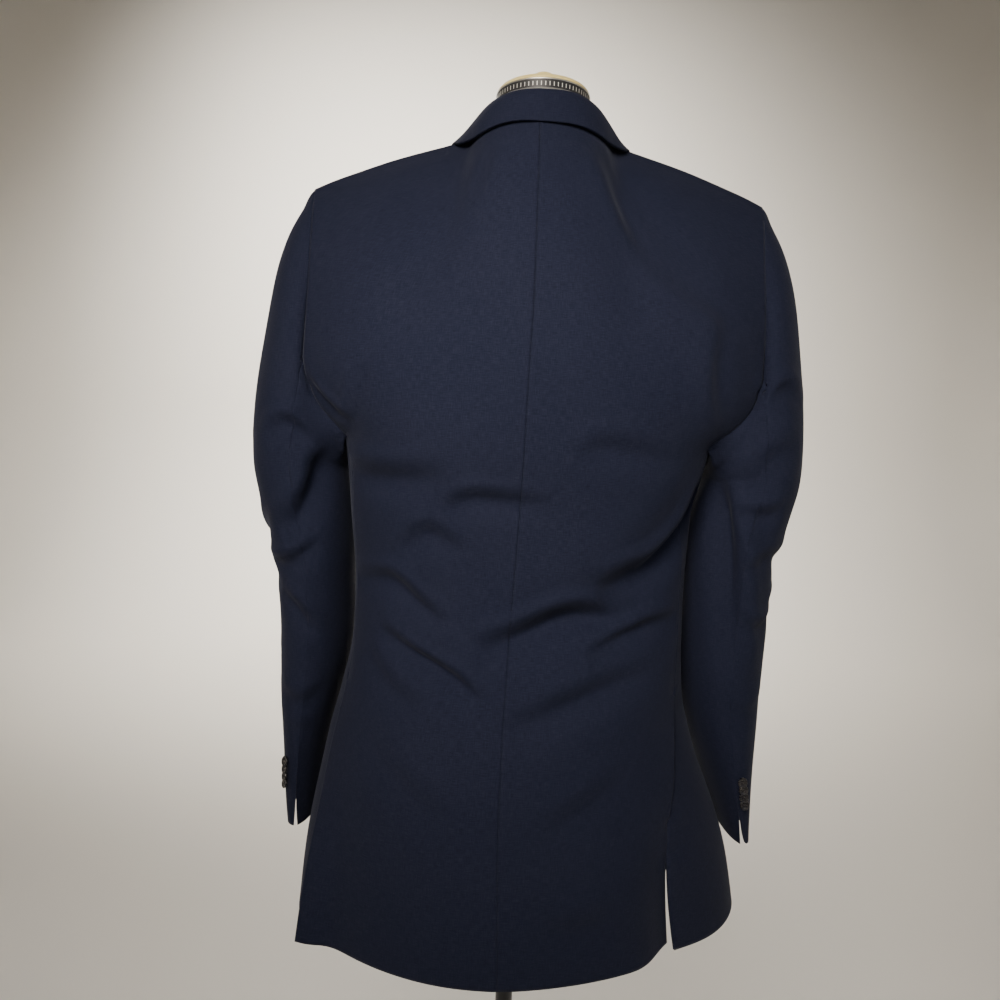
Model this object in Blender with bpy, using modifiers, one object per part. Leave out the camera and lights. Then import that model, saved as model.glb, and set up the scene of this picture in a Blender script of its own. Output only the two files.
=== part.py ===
# A dark navy blazer hanging on a limbless dress form with a pole stand.
# Metres, +Z up. The jacket's front faces -Y and its back +Y; the wearer's left is +X.
# The origin is on the floor at the pole's axis.

import math

import bmesh
import bpy
from mathutils import Matrix, Vector
from mathutils.bvhtree import BVHTree

NAMES = {1: "left", -1: "right"}   # the wearer's sides, by the sign of x

# Colours
NAVY = (0.014, 0.018, 0.032)
BUTTON_BLACK = (0.012, 0.012, 0.016)
STAND_BLACK = (0.015, 0.015, 0.016)

# Cloth
WALL = 0.0024            # jacket cloth with its facings, pressed together
SEAM_GAP = 0.0003        # between two sewn pieces
LAID_GAP = 0.0006        # between a panel and what lies on it

# Heights of the jacket above the floor
HEM = 0.642
VENT_TOP = 0.865
BREAK = 1.054            # where the lapel starts to turn back
CHEST = 1.135            # under the arms; above it the armholes cut the body
NECK_SEAM = 1.436
CUFF = 0.710

# Shoulders
NECK_SIDE = Vector((0.0670, 0.008, 1.4330))
SHOULDER_TIP = Vector((0.229, 0.0, 1.380))

# Laps
FRONT_LAP = WALL + 0.0010   # the left front lies this much further out over the right one
LAPEL_LAP = WALL + 0.0014   # and this much more where the right lapel's foot is under it
VENT_LAP = WALL + 0.0018    # the side panel's vent underlap lies this much further in

# Buttons
FRONT_BUTTON = 0.020
FRONT_BUTTON_THICK = 0.0035
FRONT_BUTTON_HEIGHTS = (1.035, 0.925)
CUFF_BUTTON = 0.0105
CUFF_BUTTON_THICK = 0.0020
CUFF_BUTTON_PITCH = 0.0088
CUFF_BUTTON_TILT = math.radians(17)
CUFF_BUTTONS = 4
CUFF_BUTTON_TOP = 0.786
CUFF_BUTTON_PLACE = {1: 0.215, -1: 0.240}   # where round the sleeve, from its outer side backwards
BUTTON_GAP = 0.0004
BUTTON_SIDES = 14

# Stand and neck
POLE_RADIUS = 0.0095
BASE_RADIUS = 0.185
BASE_THICK = 0.014
SOCKET_RADIUS = 0.024
SOCKET_HEIGHT = 0.050
NECK_RADIUS = 0.047
NECK_TOP = 1.4640
RING_HEIGHT = 0.0130
CAP_HEIGHT = 0.0135
KNOB_RADIUS = 0.011
KNOB_HEIGHT = 0.008

# Mesh density
NECK_COLUMNS = 5
SHOULDER_COLUMNS = 8
SIDE_COLUMNS = 4
UPPER_ROWS = 10
FORM_COLUMNS = 32
TURN_STEPS = 32

# Rows of the body below the armholes, closest together where the back is creased
LOWER_ROWS = (
    HEM, 0.672, 0.704, 0.738, 0.772, 0.802, 0.826, 0.846, VENT_TOP, 0.882, 0.898, 0.914, 0.930,
    0.945, 0.960, 0.975, 0.990, 1.006, 1.022, 1.038, BREAK, 1.072, 1.092, 1.112, CHEST,
)


def clamp(value, low, high):
    return max(low, min(high, value))


def smooth(value):
    """A soft step from 0 to 1."""
    value = clamp(value, 0.0, 1.0)
    return value * value * (3 - 2 * value)


class Table:
    """A short table with named columns. Its first column is the key that the others follow smoothly."""

    def __init__(self, columns, *rows):
        names = columns.split()
        self.keys = [row[0] for row in rows]
        self.columns = {name: [row[i] for row in rows] for i, name in enumerate(names)}

    def slope(self, values, i):
        """The slope at a row: level at a turning point, so that nothing overshoots."""
        keys = self.keys
        before = (values[i] - values[i - 1]) / (keys[i] - keys[i - 1]) if i > 0 else None
        after = (values[i + 1] - values[i]) / (keys[i + 1] - keys[i]) if i < len(keys) - 1 else None
        if before is None:
            return after
        if after is None:
            return before
        if before * after <= 0:
            return 0.0
        return 2 * before * after / (before + after)

    def read(self, column, key):
        keys = self.keys
        values = self.columns[column]
        key = clamp(key, keys[0], keys[-1])
        i = 0
        while i < len(keys) - 2 and key > keys[i + 1]:
            i += 1
        span = keys[i + 1] - keys[i]
        t = (key - keys[i]) / span
        m0 = self.slope(values, i) * span
        m1 = self.slope(values, i + 1) * span
        return (
            (2 * t ** 3 - 3 * t ** 2 + 1) * values[i]
            + (t ** 3 - 2 * t ** 2 + t) * m0
            + (3 * t ** 2 - 2 * t ** 3) * values[i + 1]
            + (t ** 3 - t ** 2) * m1
        )


class Path:
    """A polyline that is read by the length along it, as a share of the whole or in metres."""

    def __init__(self, points):
        self.points = points
        self.lengths = [0.0]
        for a, b in zip(points, points[1:]):
            self.lengths.append(self.lengths[-1] + (b - a).length)
        self.length = self.lengths[-1]

    def at(self, distance):
        distance = clamp(distance, 0.0, self.length)
        low, high = 0, len(self.lengths) - 1
        while high - low > 1:
            middle = (low + high) // 2
            if self.lengths[middle] <= distance:
                low = middle
            else:
                high = middle
        span = self.lengths[high] - self.lengths[low]
        t = (distance - self.lengths[low]) / span if span else 0.0
        return self.points[low].lerp(self.points[high], t)

    def share(self, part):
        return self.at(part * self.length)


def curve_through(points, steps=12):
    """A smooth path through a few points."""
    ends = [2 * points[0] - points[1]] + list(points) + [2 * points[-1] - points[-2]]
    line = []
    for a, b, c, d in zip(ends, ends[1:], ends[2:], ends[3:]):
        for k in range(steps):
            t = k / steps
            line.append(0.5 * (
                2 * b + (c - a) * t + (2 * a - 5 * b + 4 * c - d) * t ** 2
                + (3 * b - a - 3 * c + d) * t ** 3
            ))
    line.append(points[-1])
    return Path(line)


# The body: middle of the back, middle of the front and the depth of the widest place, by height
BODY = Table(
    "height centre back front widest",
    (0.642, 0.012, 0.169, -0.126, 0.012),
    (0.720, 0.015, 0.167, -0.131, 0.008),
    (0.800, 0.017, 0.160, -0.136, 0.004),
    (0.880, 0.016, 0.145, -0.136, 0.002),
    (0.940, 0.014, 0.130, -0.134, 0.002),
    (0.990, 0.012, 0.122, -0.134, 0.002),
    (1.060, 0.009, 0.128, -0.138, 0.002),
    (1.135, 0.007, 0.139, -0.143, 0.002),
    (1.200, 0.006, 0.1395, -0.143, 0.0),
    (1.257, 0.004, 0.131, -0.132, 0.0),
    (1.320, 0.004, 0.1165, -0.115, 0.0),
    (1.380, 0.004, 0.0985, -0.080, 0.0),
    (1.412, 0.004, 0.0890, -0.050, 0.0),
    (1.436, 0.004, 0.0740, -0.020, 0.0),
)

# Each half below the armholes. back_width and side_width run along the cloth; edge is how far the
# front passes the middle; round is the back's roundness; kick turns the back's vent corner outwards;
# under is how far the side panel's vent edge runs beneath the back, and lap how deep it lies.
HALF_COLUMNS = "height wide back_width side_width edge round kick under lap"
HALVES = {
    1: Table(
        HALF_COLUMNS,
        (0.642, 0.228, 0.211, 0.150, -0.085, 2.0, 0.026, 0.020, VENT_LAP),
        (0.704, 0.2215, 0.207, 0.146, -0.024, 2.0, 0.020, 0.020, VENT_LAP),
        (0.772, 0.2115, 0.203, 0.141, 0.009, 2.0, 0.010, 0.020, VENT_LAP),
        (0.826, 0.2015, 0.199, 0.135, 0.018, 2.1, 0.003, 0.018, VENT_LAP),
        (0.846, 0.196, 0.198, 0.133, 0.020, 2.1, 0.001, 0.012, VENT_LAP),
        (0.865, 0.190, 0.196, 0.130, 0.021, 2.15, 0.0, 0.0, VENT_LAP),
        (0.930, 0.178, 0.188, 0.118, 0.022, 2.2, 0.0, 0.0, 0.0),
        (0.990, 0.178, 0.185, 0.112, 0.022, 2.2, 0.0, 0.0, 0.0),
        (1.054, 0.182, 0.189, 0.112, 0.020, 2.3, 0.0, 0.0, 0.0),
        (1.135, 0.190, 0.199, 0.110, -0.001, 2.4, 0.0, 0.0, 0.0),
    ),
    -1: Table(
        HALF_COLUMNS,
        (0.642, 0.250, 0.185, 0.189, -0.085, 1.65, -0.020, -0.002, -0.012),
        (0.704, 0.237, 0.179, 0.178, -0.024, 1.7, -0.013, 0.001, -0.008),
        (0.738, 0.226, 0.176, 0.177, 0.0, 1.75, -0.009, -0.001, -0.003),
        (0.772, 0.212, 0.179, 0.165, 0.009, 1.8, -0.004, -0.002, VENT_LAP),
        (0.802, 0.198, 0.188, 0.149, 0.016, 1.9, 0.0, 0.010, VENT_LAP),
        (0.846, 0.184, 0.194, 0.132, 0.020, 2.0, 0.0, 0.012, VENT_LAP),
        (0.865, 0.178, 0.195, 0.128, 0.021, 2.05, 0.0, 0.0, VENT_LAP),
        (0.930, 0.172, 0.190, 0.118, 0.022, 2.2, 0.0, 0.0, 0.0),
        (0.990, 0.171, 0.187, 0.112, 0.022, 2.2, 0.0, 0.0, 0.0),
        (1.054, 0.172, 0.190, 0.112, 0.020, 2.3, 0.0, 0.0, 0.0),
        (1.135, 0.186, 0.199, 0.110, -0.001, 2.4, 0.0, 0.0, 0.0),
    ),
}

# The armhole's edge from the chest line up to the shoulder, on the back and on the front
ARMHOLE_BACK = (
    Vector((0.208, 0.062, 1.160)), Vector((0.2215, 0.064, 1.192)), Vector((0.2225, 0.060, 1.235)),
    Vector((0.2215, 0.051, 1.285)), Vector((0.2235, 0.034, 1.333)), Vector((0.227, 0.015, 1.366)),
)
ARMHOLE_FRONT = (
    Vector((0.191, -0.070, 1.168)), Vector((0.190, -0.079, 1.220)), Vector((0.195, -0.075, 1.280)),
    Vector((0.209, -0.055, 1.332)), Vector((0.2235, -0.025, 1.366)),
)
# The lapel's roll line from the chest line to the side of the neck
ROLL_LINE = (
    Vector((0.018, -0.1425, 1.200)), Vector((0.037, -0.131, 1.268)), Vector((0.053, -0.107, 1.335)),
    Vector((0.0640, -0.072, 1.388)), Vector((0.0680, -0.032, 1.4190)),
)
# The shoulder seam, from the neck to the tip
SHOULDER_SEAM = (
    NECK_SIDE, Vector((0.100, 0.007, 1.4235)), Vector((0.140, 0.004, 1.413)),
    Vector((0.168, 0.002, 1.404)), Vector((0.190, 0.001, 1.396)), Vector((0.210, 0.0, 1.389)),
    SHOULDER_TIP,
)

# The largest creases of the back: ends, how far the middle bows up, half width and depth.
# A negative depth is a ridge.
BACK_FOLDS = Table(
    "fold x0 z0 x1 z1 bow width depth",
    (1, 0.052, 0.938, -0.130, 0.978, 0.012, 0.019, 0.0070),
    (2, -0.056, 0.998, -0.168, 1.094, -0.018, 0.018, 0.0075),
    (3, -0.050, 0.920, -0.156, 0.946, 0.004, 0.012, 0.0035),
    (4, 0.138, 0.950, 0.032, 0.895, 0.005, 0.009, 0.0065),
    (5, 0.166, 0.994, 0.070, 0.962, 0.010, 0.010, 0.0040),
    (6, 0.175, 1.103, 0.074, 1.104, -0.002, 0.012, 0.0050),
    (7, 0.082, 1.070, -0.020, 1.078, 0.007, 0.011, 0.0045),
    (8, 0.122, 1.024, 0.054, 1.028, 0.020, 0.010, 0.0040),
    (9, 0.019, 0.874, -0.125, 0.922, 0.002, 0.012, 0.0045),
    (10, -0.034, 1.410, -0.170, 1.245, -0.014, 0.013, -0.0050),
    (11, -0.064, 1.400, -0.165, 1.270, -0.010, 0.014, 0.0040),
    (12, -0.038, 1.120, -0.136, 1.122, 0.010, 0.014, 0.0030),
    (13, 0.092, 1.304, 0.150, 1.222, 0.004, 0.015, 0.0035),
)

# Sleeve sections by height: outer and inner side, front and back
ARM_COLUMNS = "height outer inner front back"
ARMS = {
    1: Table(
        ARM_COLUMNS,
        (0.710, 0.2500, 0.2205, -0.106, 0.027),
        (0.770, 0.2550, 0.2120, -0.101, 0.035),
        (0.840, 0.2570, 0.1980, -0.092, 0.043),
        (0.900, 0.2575, 0.1845, -0.084, 0.050),
        (0.955, 0.2580, 0.1800, -0.077, 0.057),
        (1.005, 0.2630, 0.1803, -0.073, 0.063),
        (1.055, 0.2755, 0.1840, -0.075, 0.068),
        (1.100, 0.2860, 0.1880, -0.078, 0.070),
    ),
    -1: Table(
        ARM_COLUMNS,
        (0.710, 0.2640, 0.2355, -0.106, 0.030),
        (0.770, 0.2635, 0.2135, -0.101, 0.038),
        (0.840, 0.2640, 0.1862, -0.092, 0.046),
        (0.900, 0.2640, 0.1752, -0.084, 0.052),
        (0.955, 0.2640, 0.1728, -0.077, 0.058),
        (1.005, 0.2625, 0.1728, -0.073, 0.064),
        (1.055, 0.2735, 0.1746, -0.075, 0.069),
        (1.100, 0.2840, 0.1858, -0.078, 0.071),
    ),
}
ARM_ROWS = (
    1.100, 1.078, 1.055, 1.034, 1.018, 1.005, 0.992, 0.972, 0.948, 0.918, 0.886, 0.850, 0.810,
    0.772, 0.738, CUFF,
)
# The sleeve head between the armhole and the first section: the share of the way, and the puff
SLEEVE_HEAD = Table(
    "share puff",
    (0.0, 0.0), (0.12, 0.0165), (0.30, 0.0215), (0.52, 0.0190), (0.76, 0.0120), (1.0, 0.0),
)
HEAD_ROWS = (0.06, 0.14, 0.28, 0.46, 0.64, 0.82)
HIND_SEAM = 7            # the sleeve seams, as steps round the armhole from the shoulder
FORE_SEAM = 17
HIND_AT_CUFF = 0.26      # where they lie round the cuff, from its outer side backwards
FORE_AT_CUFF = 0.72
CUFF_SLIT = 0.024
CUFF_SLIT_OPEN = 0.0022
ARMHOLE_EASE = 0.0007

# The collar's outer edge and its fold from the middle of the back; the fifth point of each is over
# the shoulder seam
COLLAR_EDGE = (
    Vector((0.004, 0.090, 1.427)), Vector((0.036, 0.081, 1.427)), Vector((0.065, 0.062, 1.424)),
    Vector((0.081, 0.036, 1.421)), Vector((0.0875, 0.006, 1.4235)), Vector((0.096, -0.034, 1.408)),
    Vector((0.110, -0.064, 1.387)), Vector((0.121, -0.082, 1.364)),
)
COLLAR_FOLD = (
    Vector((0.003, 0.078, 1.453)), Vector((0.025, 0.071, 1.454)), Vector((0.043, 0.053, 1.4545)),
    Vector((0.0530, 0.030, 1.453)), Vector((0.0565, 0.005, 1.4475)), Vector((0.0580, -0.022, 1.433)),
    Vector((0.0590, -0.050, 1.410)), Vector((0.0585, -0.077, 1.386)),
)
COLLAR_RIDGE = 4
COLLAR_STATIONS = 7      # on each side of the shoulder seam
COLLAR_FOLD_RADIUS = 0.003
COLLAR_GAP = 0.0005      # between the collar and the pieces that it meets edge to edge
COLLAR_LIFT = 0.0017     # how much further the collar's fall stands off the shoulders
COLLAR_RIDGE_LIFT = 0.0012
GORGE = 0.27             # share of the roll line, from the neck down, where the lapel ends
GORGE_RUN = 0.041        # from the roll line out to the notch
GORGE_DROP = 0.022
LAPEL_TIP_X, LAPEL_TIP_Z = 0.139, 1.330
LAPEL_BELLY_X, LAPEL_BELLY_Z = 0.082, 1.150
LAPEL_ROLL = 0.0014      # how much further the lapel stands off the front
LAPEL_COLUMNS = 6
LAPEL_ROWS = 14

# The dress form: sections by height
FORM = Table(
    "height wide back front round",
    (0.705, 0.158, 0.112, -0.092, 2.2),
    (0.740, 0.168, 0.122, -0.098, 2.2),
    (0.800, 0.171, 0.124, -0.100, 2.2),
    (0.880, 0.158, 0.108, -0.100, 2.2),
    (0.960, 0.142, 0.090, -0.098, 2.2),
    (1.040, 0.150, 0.098, -0.108, 2.2),
    (1.140, 0.163, 0.116, -0.124, 2.3),
    (1.220, 0.171, 0.113, -0.120, 2.3),
    (1.290, 0.178, 0.097, -0.104, 2.3),
    (1.340, 0.187, 0.076, -0.080, 2.2),
    (1.365, 0.192, 0.062, -0.062, 2.1),
    (1.382, 0.192, 0.050, -0.048, 2.0),
    (1.394, 0.178, 0.043, -0.040, 2.0),
    (1.403, 0.152, 0.042, -0.038, 2.0),
    (1.410, 0.098, 0.040, -0.038, 2.0),
    (1.417, 0.076, 0.040, -0.039, 2.0),
    (1.425, 0.066, 0.043, -0.042, 2.0),
    (1.438, 0.054, 0.046, -0.045, 2.0),
    (1.464, 0.047, 0.047, -0.047, 2.0),
)
FORM_CENTRE = 0.002
FORM_GAP = 0.0007        # the cloth rests this close on the form's shoulders


def superellipse(angle, power):
    """Across and along shares of a rounded quarter, from 0 at its start to 90 degrees at its side."""
    return abs(math.sin(angle)) ** (2 / power), abs(math.cos(angle)) ** (2 / power)


SECTIONS = {}            # half sections that were already worked out


def half_section(side, height):
    """Plan outline of one half of the body, from the back seam past the middle of the front."""
    key = (side, round(height, 6))
    if key not in SECTIONS:
        half = HALVES[side]
        wide = half.read("wide", height)
        power = half.read("round", height)
        widest = BODY.read("widest", height)
        back = BODY.read("back", height)
        front = BODY.read("front", height)
        start = side * BODY.read("centre", height)
        points = []
        steps = 48
        for k in range(steps):
            across, along = superellipse(math.pi / 2 * k / steps, power)
            points.append(Vector((start + (wide - start) * across, widest + (back - widest) * along, 0)))
        for k in range(steps + 1):
            across, along = superellipse(math.pi / 2 * (1 - k / steps), 2.3)
            points.append(Vector((wide * across, widest + (front - widest) * along, 0)))
        middle = Path(points).length
        points.append(Vector((-0.06, front, 0)))
        SECTIONS[key] = (Path(points), middle)
    return SECTIONS[key]


def on_body(side, height, distance):
    """A point of the body's outer side, by its height and the distance along the cloth."""
    path, middle = half_section(side, height)
    flat = path.at(distance)
    return Vector((side * flat.x, flat.y, height))


def outwards(point):
    """The way a crease pushes the back in or out."""
    return Vector((1.8 * point.x, 1.0, 0.0)).normalized()


def crease(point, folds):
    """How far the creases push a point of the back outwards."""
    total = 0.0
    table = folds.columns
    for row in range(len(folds.keys)):
        x0, z0 = table["x0"][row], table["z0"][row]
        x1, z1 = table["x1"][row], table["z1"][row]
        length = math.hypot(x1 - x0, z1 - z0)
        along_x, along_z = (x1 - x0) / length, (z1 - z0) / length
        if along_x > 0:
            up_x, up_z = -along_z, along_x
        else:
            up_x, up_z = along_z, -along_x
        dx, dz = point.x - x0, point.z - z0
        part = (dx * along_x + dz * along_z) / length
        if not 0 < part < 1:
            continue
        off = dx * up_x + dz * up_z - 4 * table["bow"][row] * part * (1 - part)
        off /= table["width"][row]
        taper = math.sin(math.pi * part) ** 0.8
        total -= table["depth"][row] * taper * (math.exp(-off * off) - 0.4 * math.exp(-(off - 2.1) ** 2))
    return total


def vent_kick(half, height, distance):
    """How far the cloth is turned outwards near the vent, whose edge is at the back panel's width."""
    edge = half.read("back_width", height)
    if distance < edge:
        share = smooth(1 - (edge - distance) / 0.06) ** 2
    else:
        share = 1 - smooth((distance - edge - 0.004) / 0.035)
    return half.read("kick", height) * share


def back_point(side, height, part):
    """The back panel below the armholes, from the middle seam (part 0) to its side edge (part 1)."""
    half = HALVES[side]
    distance = part * half.read("back_width", height)
    point = on_body(side, height, distance)
    return point + outwards(point) * vent_kick(half, height, distance)


def side_point(side, height, part):
    """The side panel, from its back edge (part 0) to the seam with the front (part 1)."""
    half = HALVES[side]
    start = half.read("back_width", height)
    under = half.read("under", height)
    end = start + half.read("side_width", height)
    distance = start - under + part * (end - start + under)
    point = on_body(side, height, distance)
    lap = half.read("lap", height) * (1 - smooth((distance - start - 0.004) / 0.035))
    return point + outwards(point) * (vent_kick(half, height, distance) - lap)


def front_point(side, height, part):
    """The front panel, from its side seam (part 0) to its free edge (part 1)."""
    half = HALVES[side]
    start = half.read("back_width", height) + half.read("side_width", height)
    end = half_section(side, height)[1] + half.read("edge", height)
    return on_body(side, height, start + part * (end - start))


def mirrored(points, side):
    return [Vector((side * p.x, p.y, p.z)) for p in points]


def upper_patch(bottom, top, inner, outer, rows):
    """A surface between four edges; the bottom edge's fullness fades upwards."""
    columns = len(bottom) - 1
    grid = []
    for k in range(1, rows + 1):
        v = k / rows
        a, b = inner.share(v), outer.share(v)
        line = []
        for i in range(columns + 1):
            u = i / columns
            low = bottom[i] - bottom[0].lerp(bottom[-1], u)
            high = top[i] - top[0].lerp(top[-1], u)
            line.append(a.lerp(b, u) + low * (1 - v ** 2.2) + high * v * v)
        grid.append(line)
    return grid


def back_grid(side):
    """Rows from the hem up; columns from the middle seam to the side edge and armhole."""
    columns = NECK_COLUMNS + SHOULDER_COLUMNS
    rows = [[back_point(side, z, i / columns) for i in range(columns + 1)] for z in LOWER_ROWS]
    neck = []
    for i in range(NECK_COLUMNS):
        angle = math.pi / 2 * i / NECK_COLUMNS
        start = side * BODY.read("centre", NECK_SEAM)
        x = start + (NECK_SIDE.x - start) * math.sin(angle)
        y = NECK_SIDE.y + (BODY.read("back", NECK_SEAM) - NECK_SIDE.y) * math.cos(angle)
        z = NECK_SEAM + (NECK_SIDE.z - NECK_SEAM) * i / NECK_COLUMNS
        neck.append(Vector((side * x, y, z)))
    seam = curve_through(mirrored(SHOULDER_SEAM, side))
    top = neck + [seam.share(i / SHOULDER_COLUMNS) for i in range(SHOULDER_COLUMNS + 1)]
    heights = [CHEST + (NECK_SEAM - CHEST) * k / 24 for k in range(25)]
    middle = Path([Vector((BODY.read("centre", z), BODY.read("back", z), z)) for z in heights])
    armhole = curve_through([rows[-1][-1]] + mirrored(ARMHOLE_BACK, side) + [top[-1]])
    rows += upper_patch(rows[-1], top, middle, armhole, UPPER_ROWS)
    for row in rows:
        for i, point in enumerate(row):
            from_edge = (1 - i / columns) * 0.2
            from_neck = (NECK_SEAM - point.z) / 0.05 if i < NECK_COLUMNS else (1.41 - point.z) / 0.03
            hold = smooth(from_edge / 0.035) * smooth(from_neck) * smooth((point.z - HEM) / 0.05)
            row[i] = point + outwards(point) * crease(point, BACK_FOLDS) * hold
    return rows


def side_grid(side):
    """Rows from the hem up; columns from the back edge to the seam with the front."""
    rows = []
    for z in LOWER_ROWS:
        dip = 0.010 if z == CHEST else 0.0
        parts = [i / SIDE_COLUMNS for i in range(SIDE_COLUMNS + 1)]
        rows.append([side_point(side, z - dip * math.sin(math.pi * part), part) for part in parts])
    return rows


def front_grid(side):
    """Rows from the hem up; columns from the side seam and armhole to the free edge."""
    columns = SHOULDER_COLUMNS
    rows = [[front_point(side, z, i / columns) for i in range(columns + 1)] for z in LOWER_ROWS]
    seam = curve_through(mirrored(SHOULDER_SEAM, side))
    top = [seam.share(1 - i / columns) for i in range(columns + 1)]
    armhole = curve_through([rows[-1][0]] + mirrored(ARMHOLE_FRONT, side) + [top[0]])
    roll = curve_through([rows[-1][-1]] + mirrored(ROLL_LINE, side) + [top[-1]])
    rows += upper_patch(rows[-1], top, armhole, roll, UPPER_ROWS)
    if side > 0:
        for row in rows:
            for i, point in enumerate(row):
                over = 1 - smooth((point.x - 0.035) / 0.05)
                high = 1 - smooth((point.z - CHEST) / 0.06)
                foot = smooth((point.z - 1.000) / 0.035) * high
                row[i] = point - Vector((0, (FRONT_LAP * high + LAPEL_LAP * foot) * over, 0))
    return rows


def section_round(side, height):
    """Plan outline of a sleeve, from its outermost point backwards all the way round."""
    arm = ARMS[side]
    outer, inner = arm.read("outer", height), arm.read("inner", height)
    front, back = arm.read("front", height), arm.read("back", height)
    middle_x, middle_y = (outer + inner) / 2, (front + back) / 2
    points = []
    steps = 96
    for k in range(steps + 1):
        angle = 2 * math.pi * k / steps
        x = math.copysign(abs(math.cos(angle)) ** (2 / 2.15), math.cos(angle))
        y = math.copysign(abs(math.sin(angle)) ** (2 / 2.15), math.sin(angle))
        points.append(Vector((
            side * (middle_x + x * (outer - inner) / 2), middle_y + y * (back - front) / 2, height,
        )))
    return Path(points), Vector((side * middle_x, middle_y, height))


def cuff_share(share, hind, fore):
    """Moves a place round the armhole to its place round the sleeve."""
    if share <= hind:
        return share / hind * HIND_AT_CUFF
    if share <= fore:
        return HIND_AT_CUFF + (share - hind) / (fore - hind) * (FORE_AT_CUFF - HIND_AT_CUFF)
    return FORE_AT_CUFF + (share - fore) / (1 - fore) * (1 - FORE_AT_CUFF)


def sleeve_grid(side, back, across, front):
    """Rows from the armhole down; columns round the arm from the shoulder seam backwards."""
    loop = [row[-1] for row in reversed(back[len(LOWER_ROWS) - 1:])]
    loop += across[-1][1:]
    loop += [row[0] for row in front[len(LOWER_ROWS):-1]]
    closed = Path(loop + [loop[0]])
    shares = [length / closed.length for length in closed.lengths[:-1]]
    hind, fore = shares[HIND_SEAM], shares[FORE_SEAM]
    placed = [cuff_share(share, hind, fore) for share in shares]
    section, centre = section_round(side, ARM_ROWS[0])
    first = [section.share(share) for share in placed]
    rows = [loop]
    for step in HEAD_ROWS:
        puff = SLEEVE_HEAD.read("puff", step)
        line = []
        for share, a, b in zip(placed, loop, first):
            away = (b - centre).normalized()
            outerness = 0.5 + 0.5 * math.cos(2 * math.pi * share)
            line.append(a.lerp(b, step) + away * puff * outerness ** 1.5)
        rows.append(line)
    rows.append(first)
    for height in ARM_ROWS[1:]:
        section, centre = section_round(side, height)
        rows.append([section.share(share) for share in placed])
    return rows


def arm_centre(side):
    """A function that gives the middle of the arm beside a point."""
    low, high = (section_round(side, height)[1] for height in (ARM_ROWS[-1], ARM_ROWS[0]))

    def centre(point):
        share = clamp((point.z - low.z) / (high.z - low.z), 0, 1)
        middle = low.lerp(high, share)
        return Vector((middle.x, middle.y, min(point.z, 1.25)))

    return centre


def point_key(point):
    return (round(point.x, 6), round(point.y, 6), round(point.z, 6))


def add_normals(normals, grid, centre, closed=False):
    """Adds the normals of a grid's faces to its points, facing away from the centre."""
    faces = []
    towards = 0.0
    columns = len(grid[0])
    for row, above in zip(grid, grid[1:]):
        for i in range(columns if closed else columns - 1):
            j = (i + 1) % columns
            corners = (row[i], row[j], above[j], above[i])
            face = (corners[2] - corners[0]).cross(corners[3] - corners[1])
            middle = (corners[0] + corners[1] + corners[2] + corners[3]) / 4
            towards += face.dot(middle - centre(middle))
            faces.append((corners, face))
    sign = 1 if towards > 0 else -1
    for corners, face in faces:
        for corner in corners:
            key = point_key(corner)
            normals[key] = normals.get(key, Vector((0, 0, 0))) + face * sign


def body_centre(point):
    return Vector((0, 0, min(point.z, 1.30)))


def armhole_mitres(loop, next_row, body_normals, sleeve_normals):
    """Where the sleeve turns down from the body, both walls end on the same slanting line."""
    mitres = {}
    for edge, inner in zip(loop, next_row):
        key = point_key(edge)
        body = body_normals[key].normalized()
        sleeve = sleeve_normals[key].normalized()
        between = body + sleeve
        turn = clamp(-(inner - edge).normalized().dot(body) * 5, 0, 1)
        if between.length > 0.3 and turn > 0:
            between.normalize()
            mitres[key] = (between / max(0.75, between.dot(body)), turn)
    return mitres


def wall_offsets(grid, normals, mitres):
    """How far the wall's inner side lies from each outer point."""
    offsets = []
    for row in grid:
        line = []
        for point in row:
            key = point_key(point)
            step = normals[key].normalized()
            if key in mitres:
                slant, turn = mitres[key]
                step = step.lerp(slant, turn)
            line.append(-step * WALL)
        offsets.append(line)
    return offsets


def trimmed(grid, trims):
    """Pulls the edges of a grid in by the given amounts; a trim is a number or a function of height."""
    new = [[point.copy() for point in row] for row in grid]
    top, end = len(grid) - 1, len(grid[0]) - 1
    edges = {
        "bottom": [((0, c), (1, c)) for c in range(end + 1)],
        "top": [((top, c), (top - 1, c)) for c in range(end + 1)],
        "start": [((r, 0), (r, 1)) for r in range(top + 1)],
        "end": [((r, end), (r, end - 1)) for r in range(top + 1)],
    }
    for name, trim in trims.items():
        cells = edges[name]
        for k, ((r, c), (inner_r, inner_c)) in enumerate(cells):
            before, after = cells[max(k - 1, 0)][0], cells[min(k + 1, len(cells) - 1)][0]
            along = (grid[after[0]][after[1]] - grid[before[0]][before[1]]).normalized()
            inwards = grid[inner_r][inner_c] - grid[r][c]
            inwards -= along * inwards.dot(along)
            size = trim(grid[r][c].z) if callable(trim) else trim
            new[r][c] += inwards.normalized() * size
    return new


def material(name, colour, roughness, metallic=0.0):
    made = bpy.data.materials.new(name)
    made.use_nodes = True
    shader = made.node_tree.nodes["Principled BSDF"]
    shader.inputs["Base Color"].default_value = (*colour, 1.0)
    shader.inputs["Roughness"].default_value = roughness
    shader.inputs["Metallic"].default_value = metallic
    made.diffuse_color = (*colour, 1.0)
    return made


def finish(name, mesh, colour, roughness, metallic=0.0):
    """Turns a bmesh into a named object with its own material."""
    bmesh.ops.recalc_face_normals(mesh, faces=mesh.faces[:])
    data = bpy.data.meshes.new(name)
    mesh.to_mesh(data)
    mesh.free()
    data.shade_smooth()
    data.set_sharp_from_angle(angle=math.radians(40))
    data.materials.append(material(name, colour, roughness, metallic))
    made = bpy.data.objects.new(name, data)
    bpy.data.collections["blazer_on_form"].objects.link(made)
    return made


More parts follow.
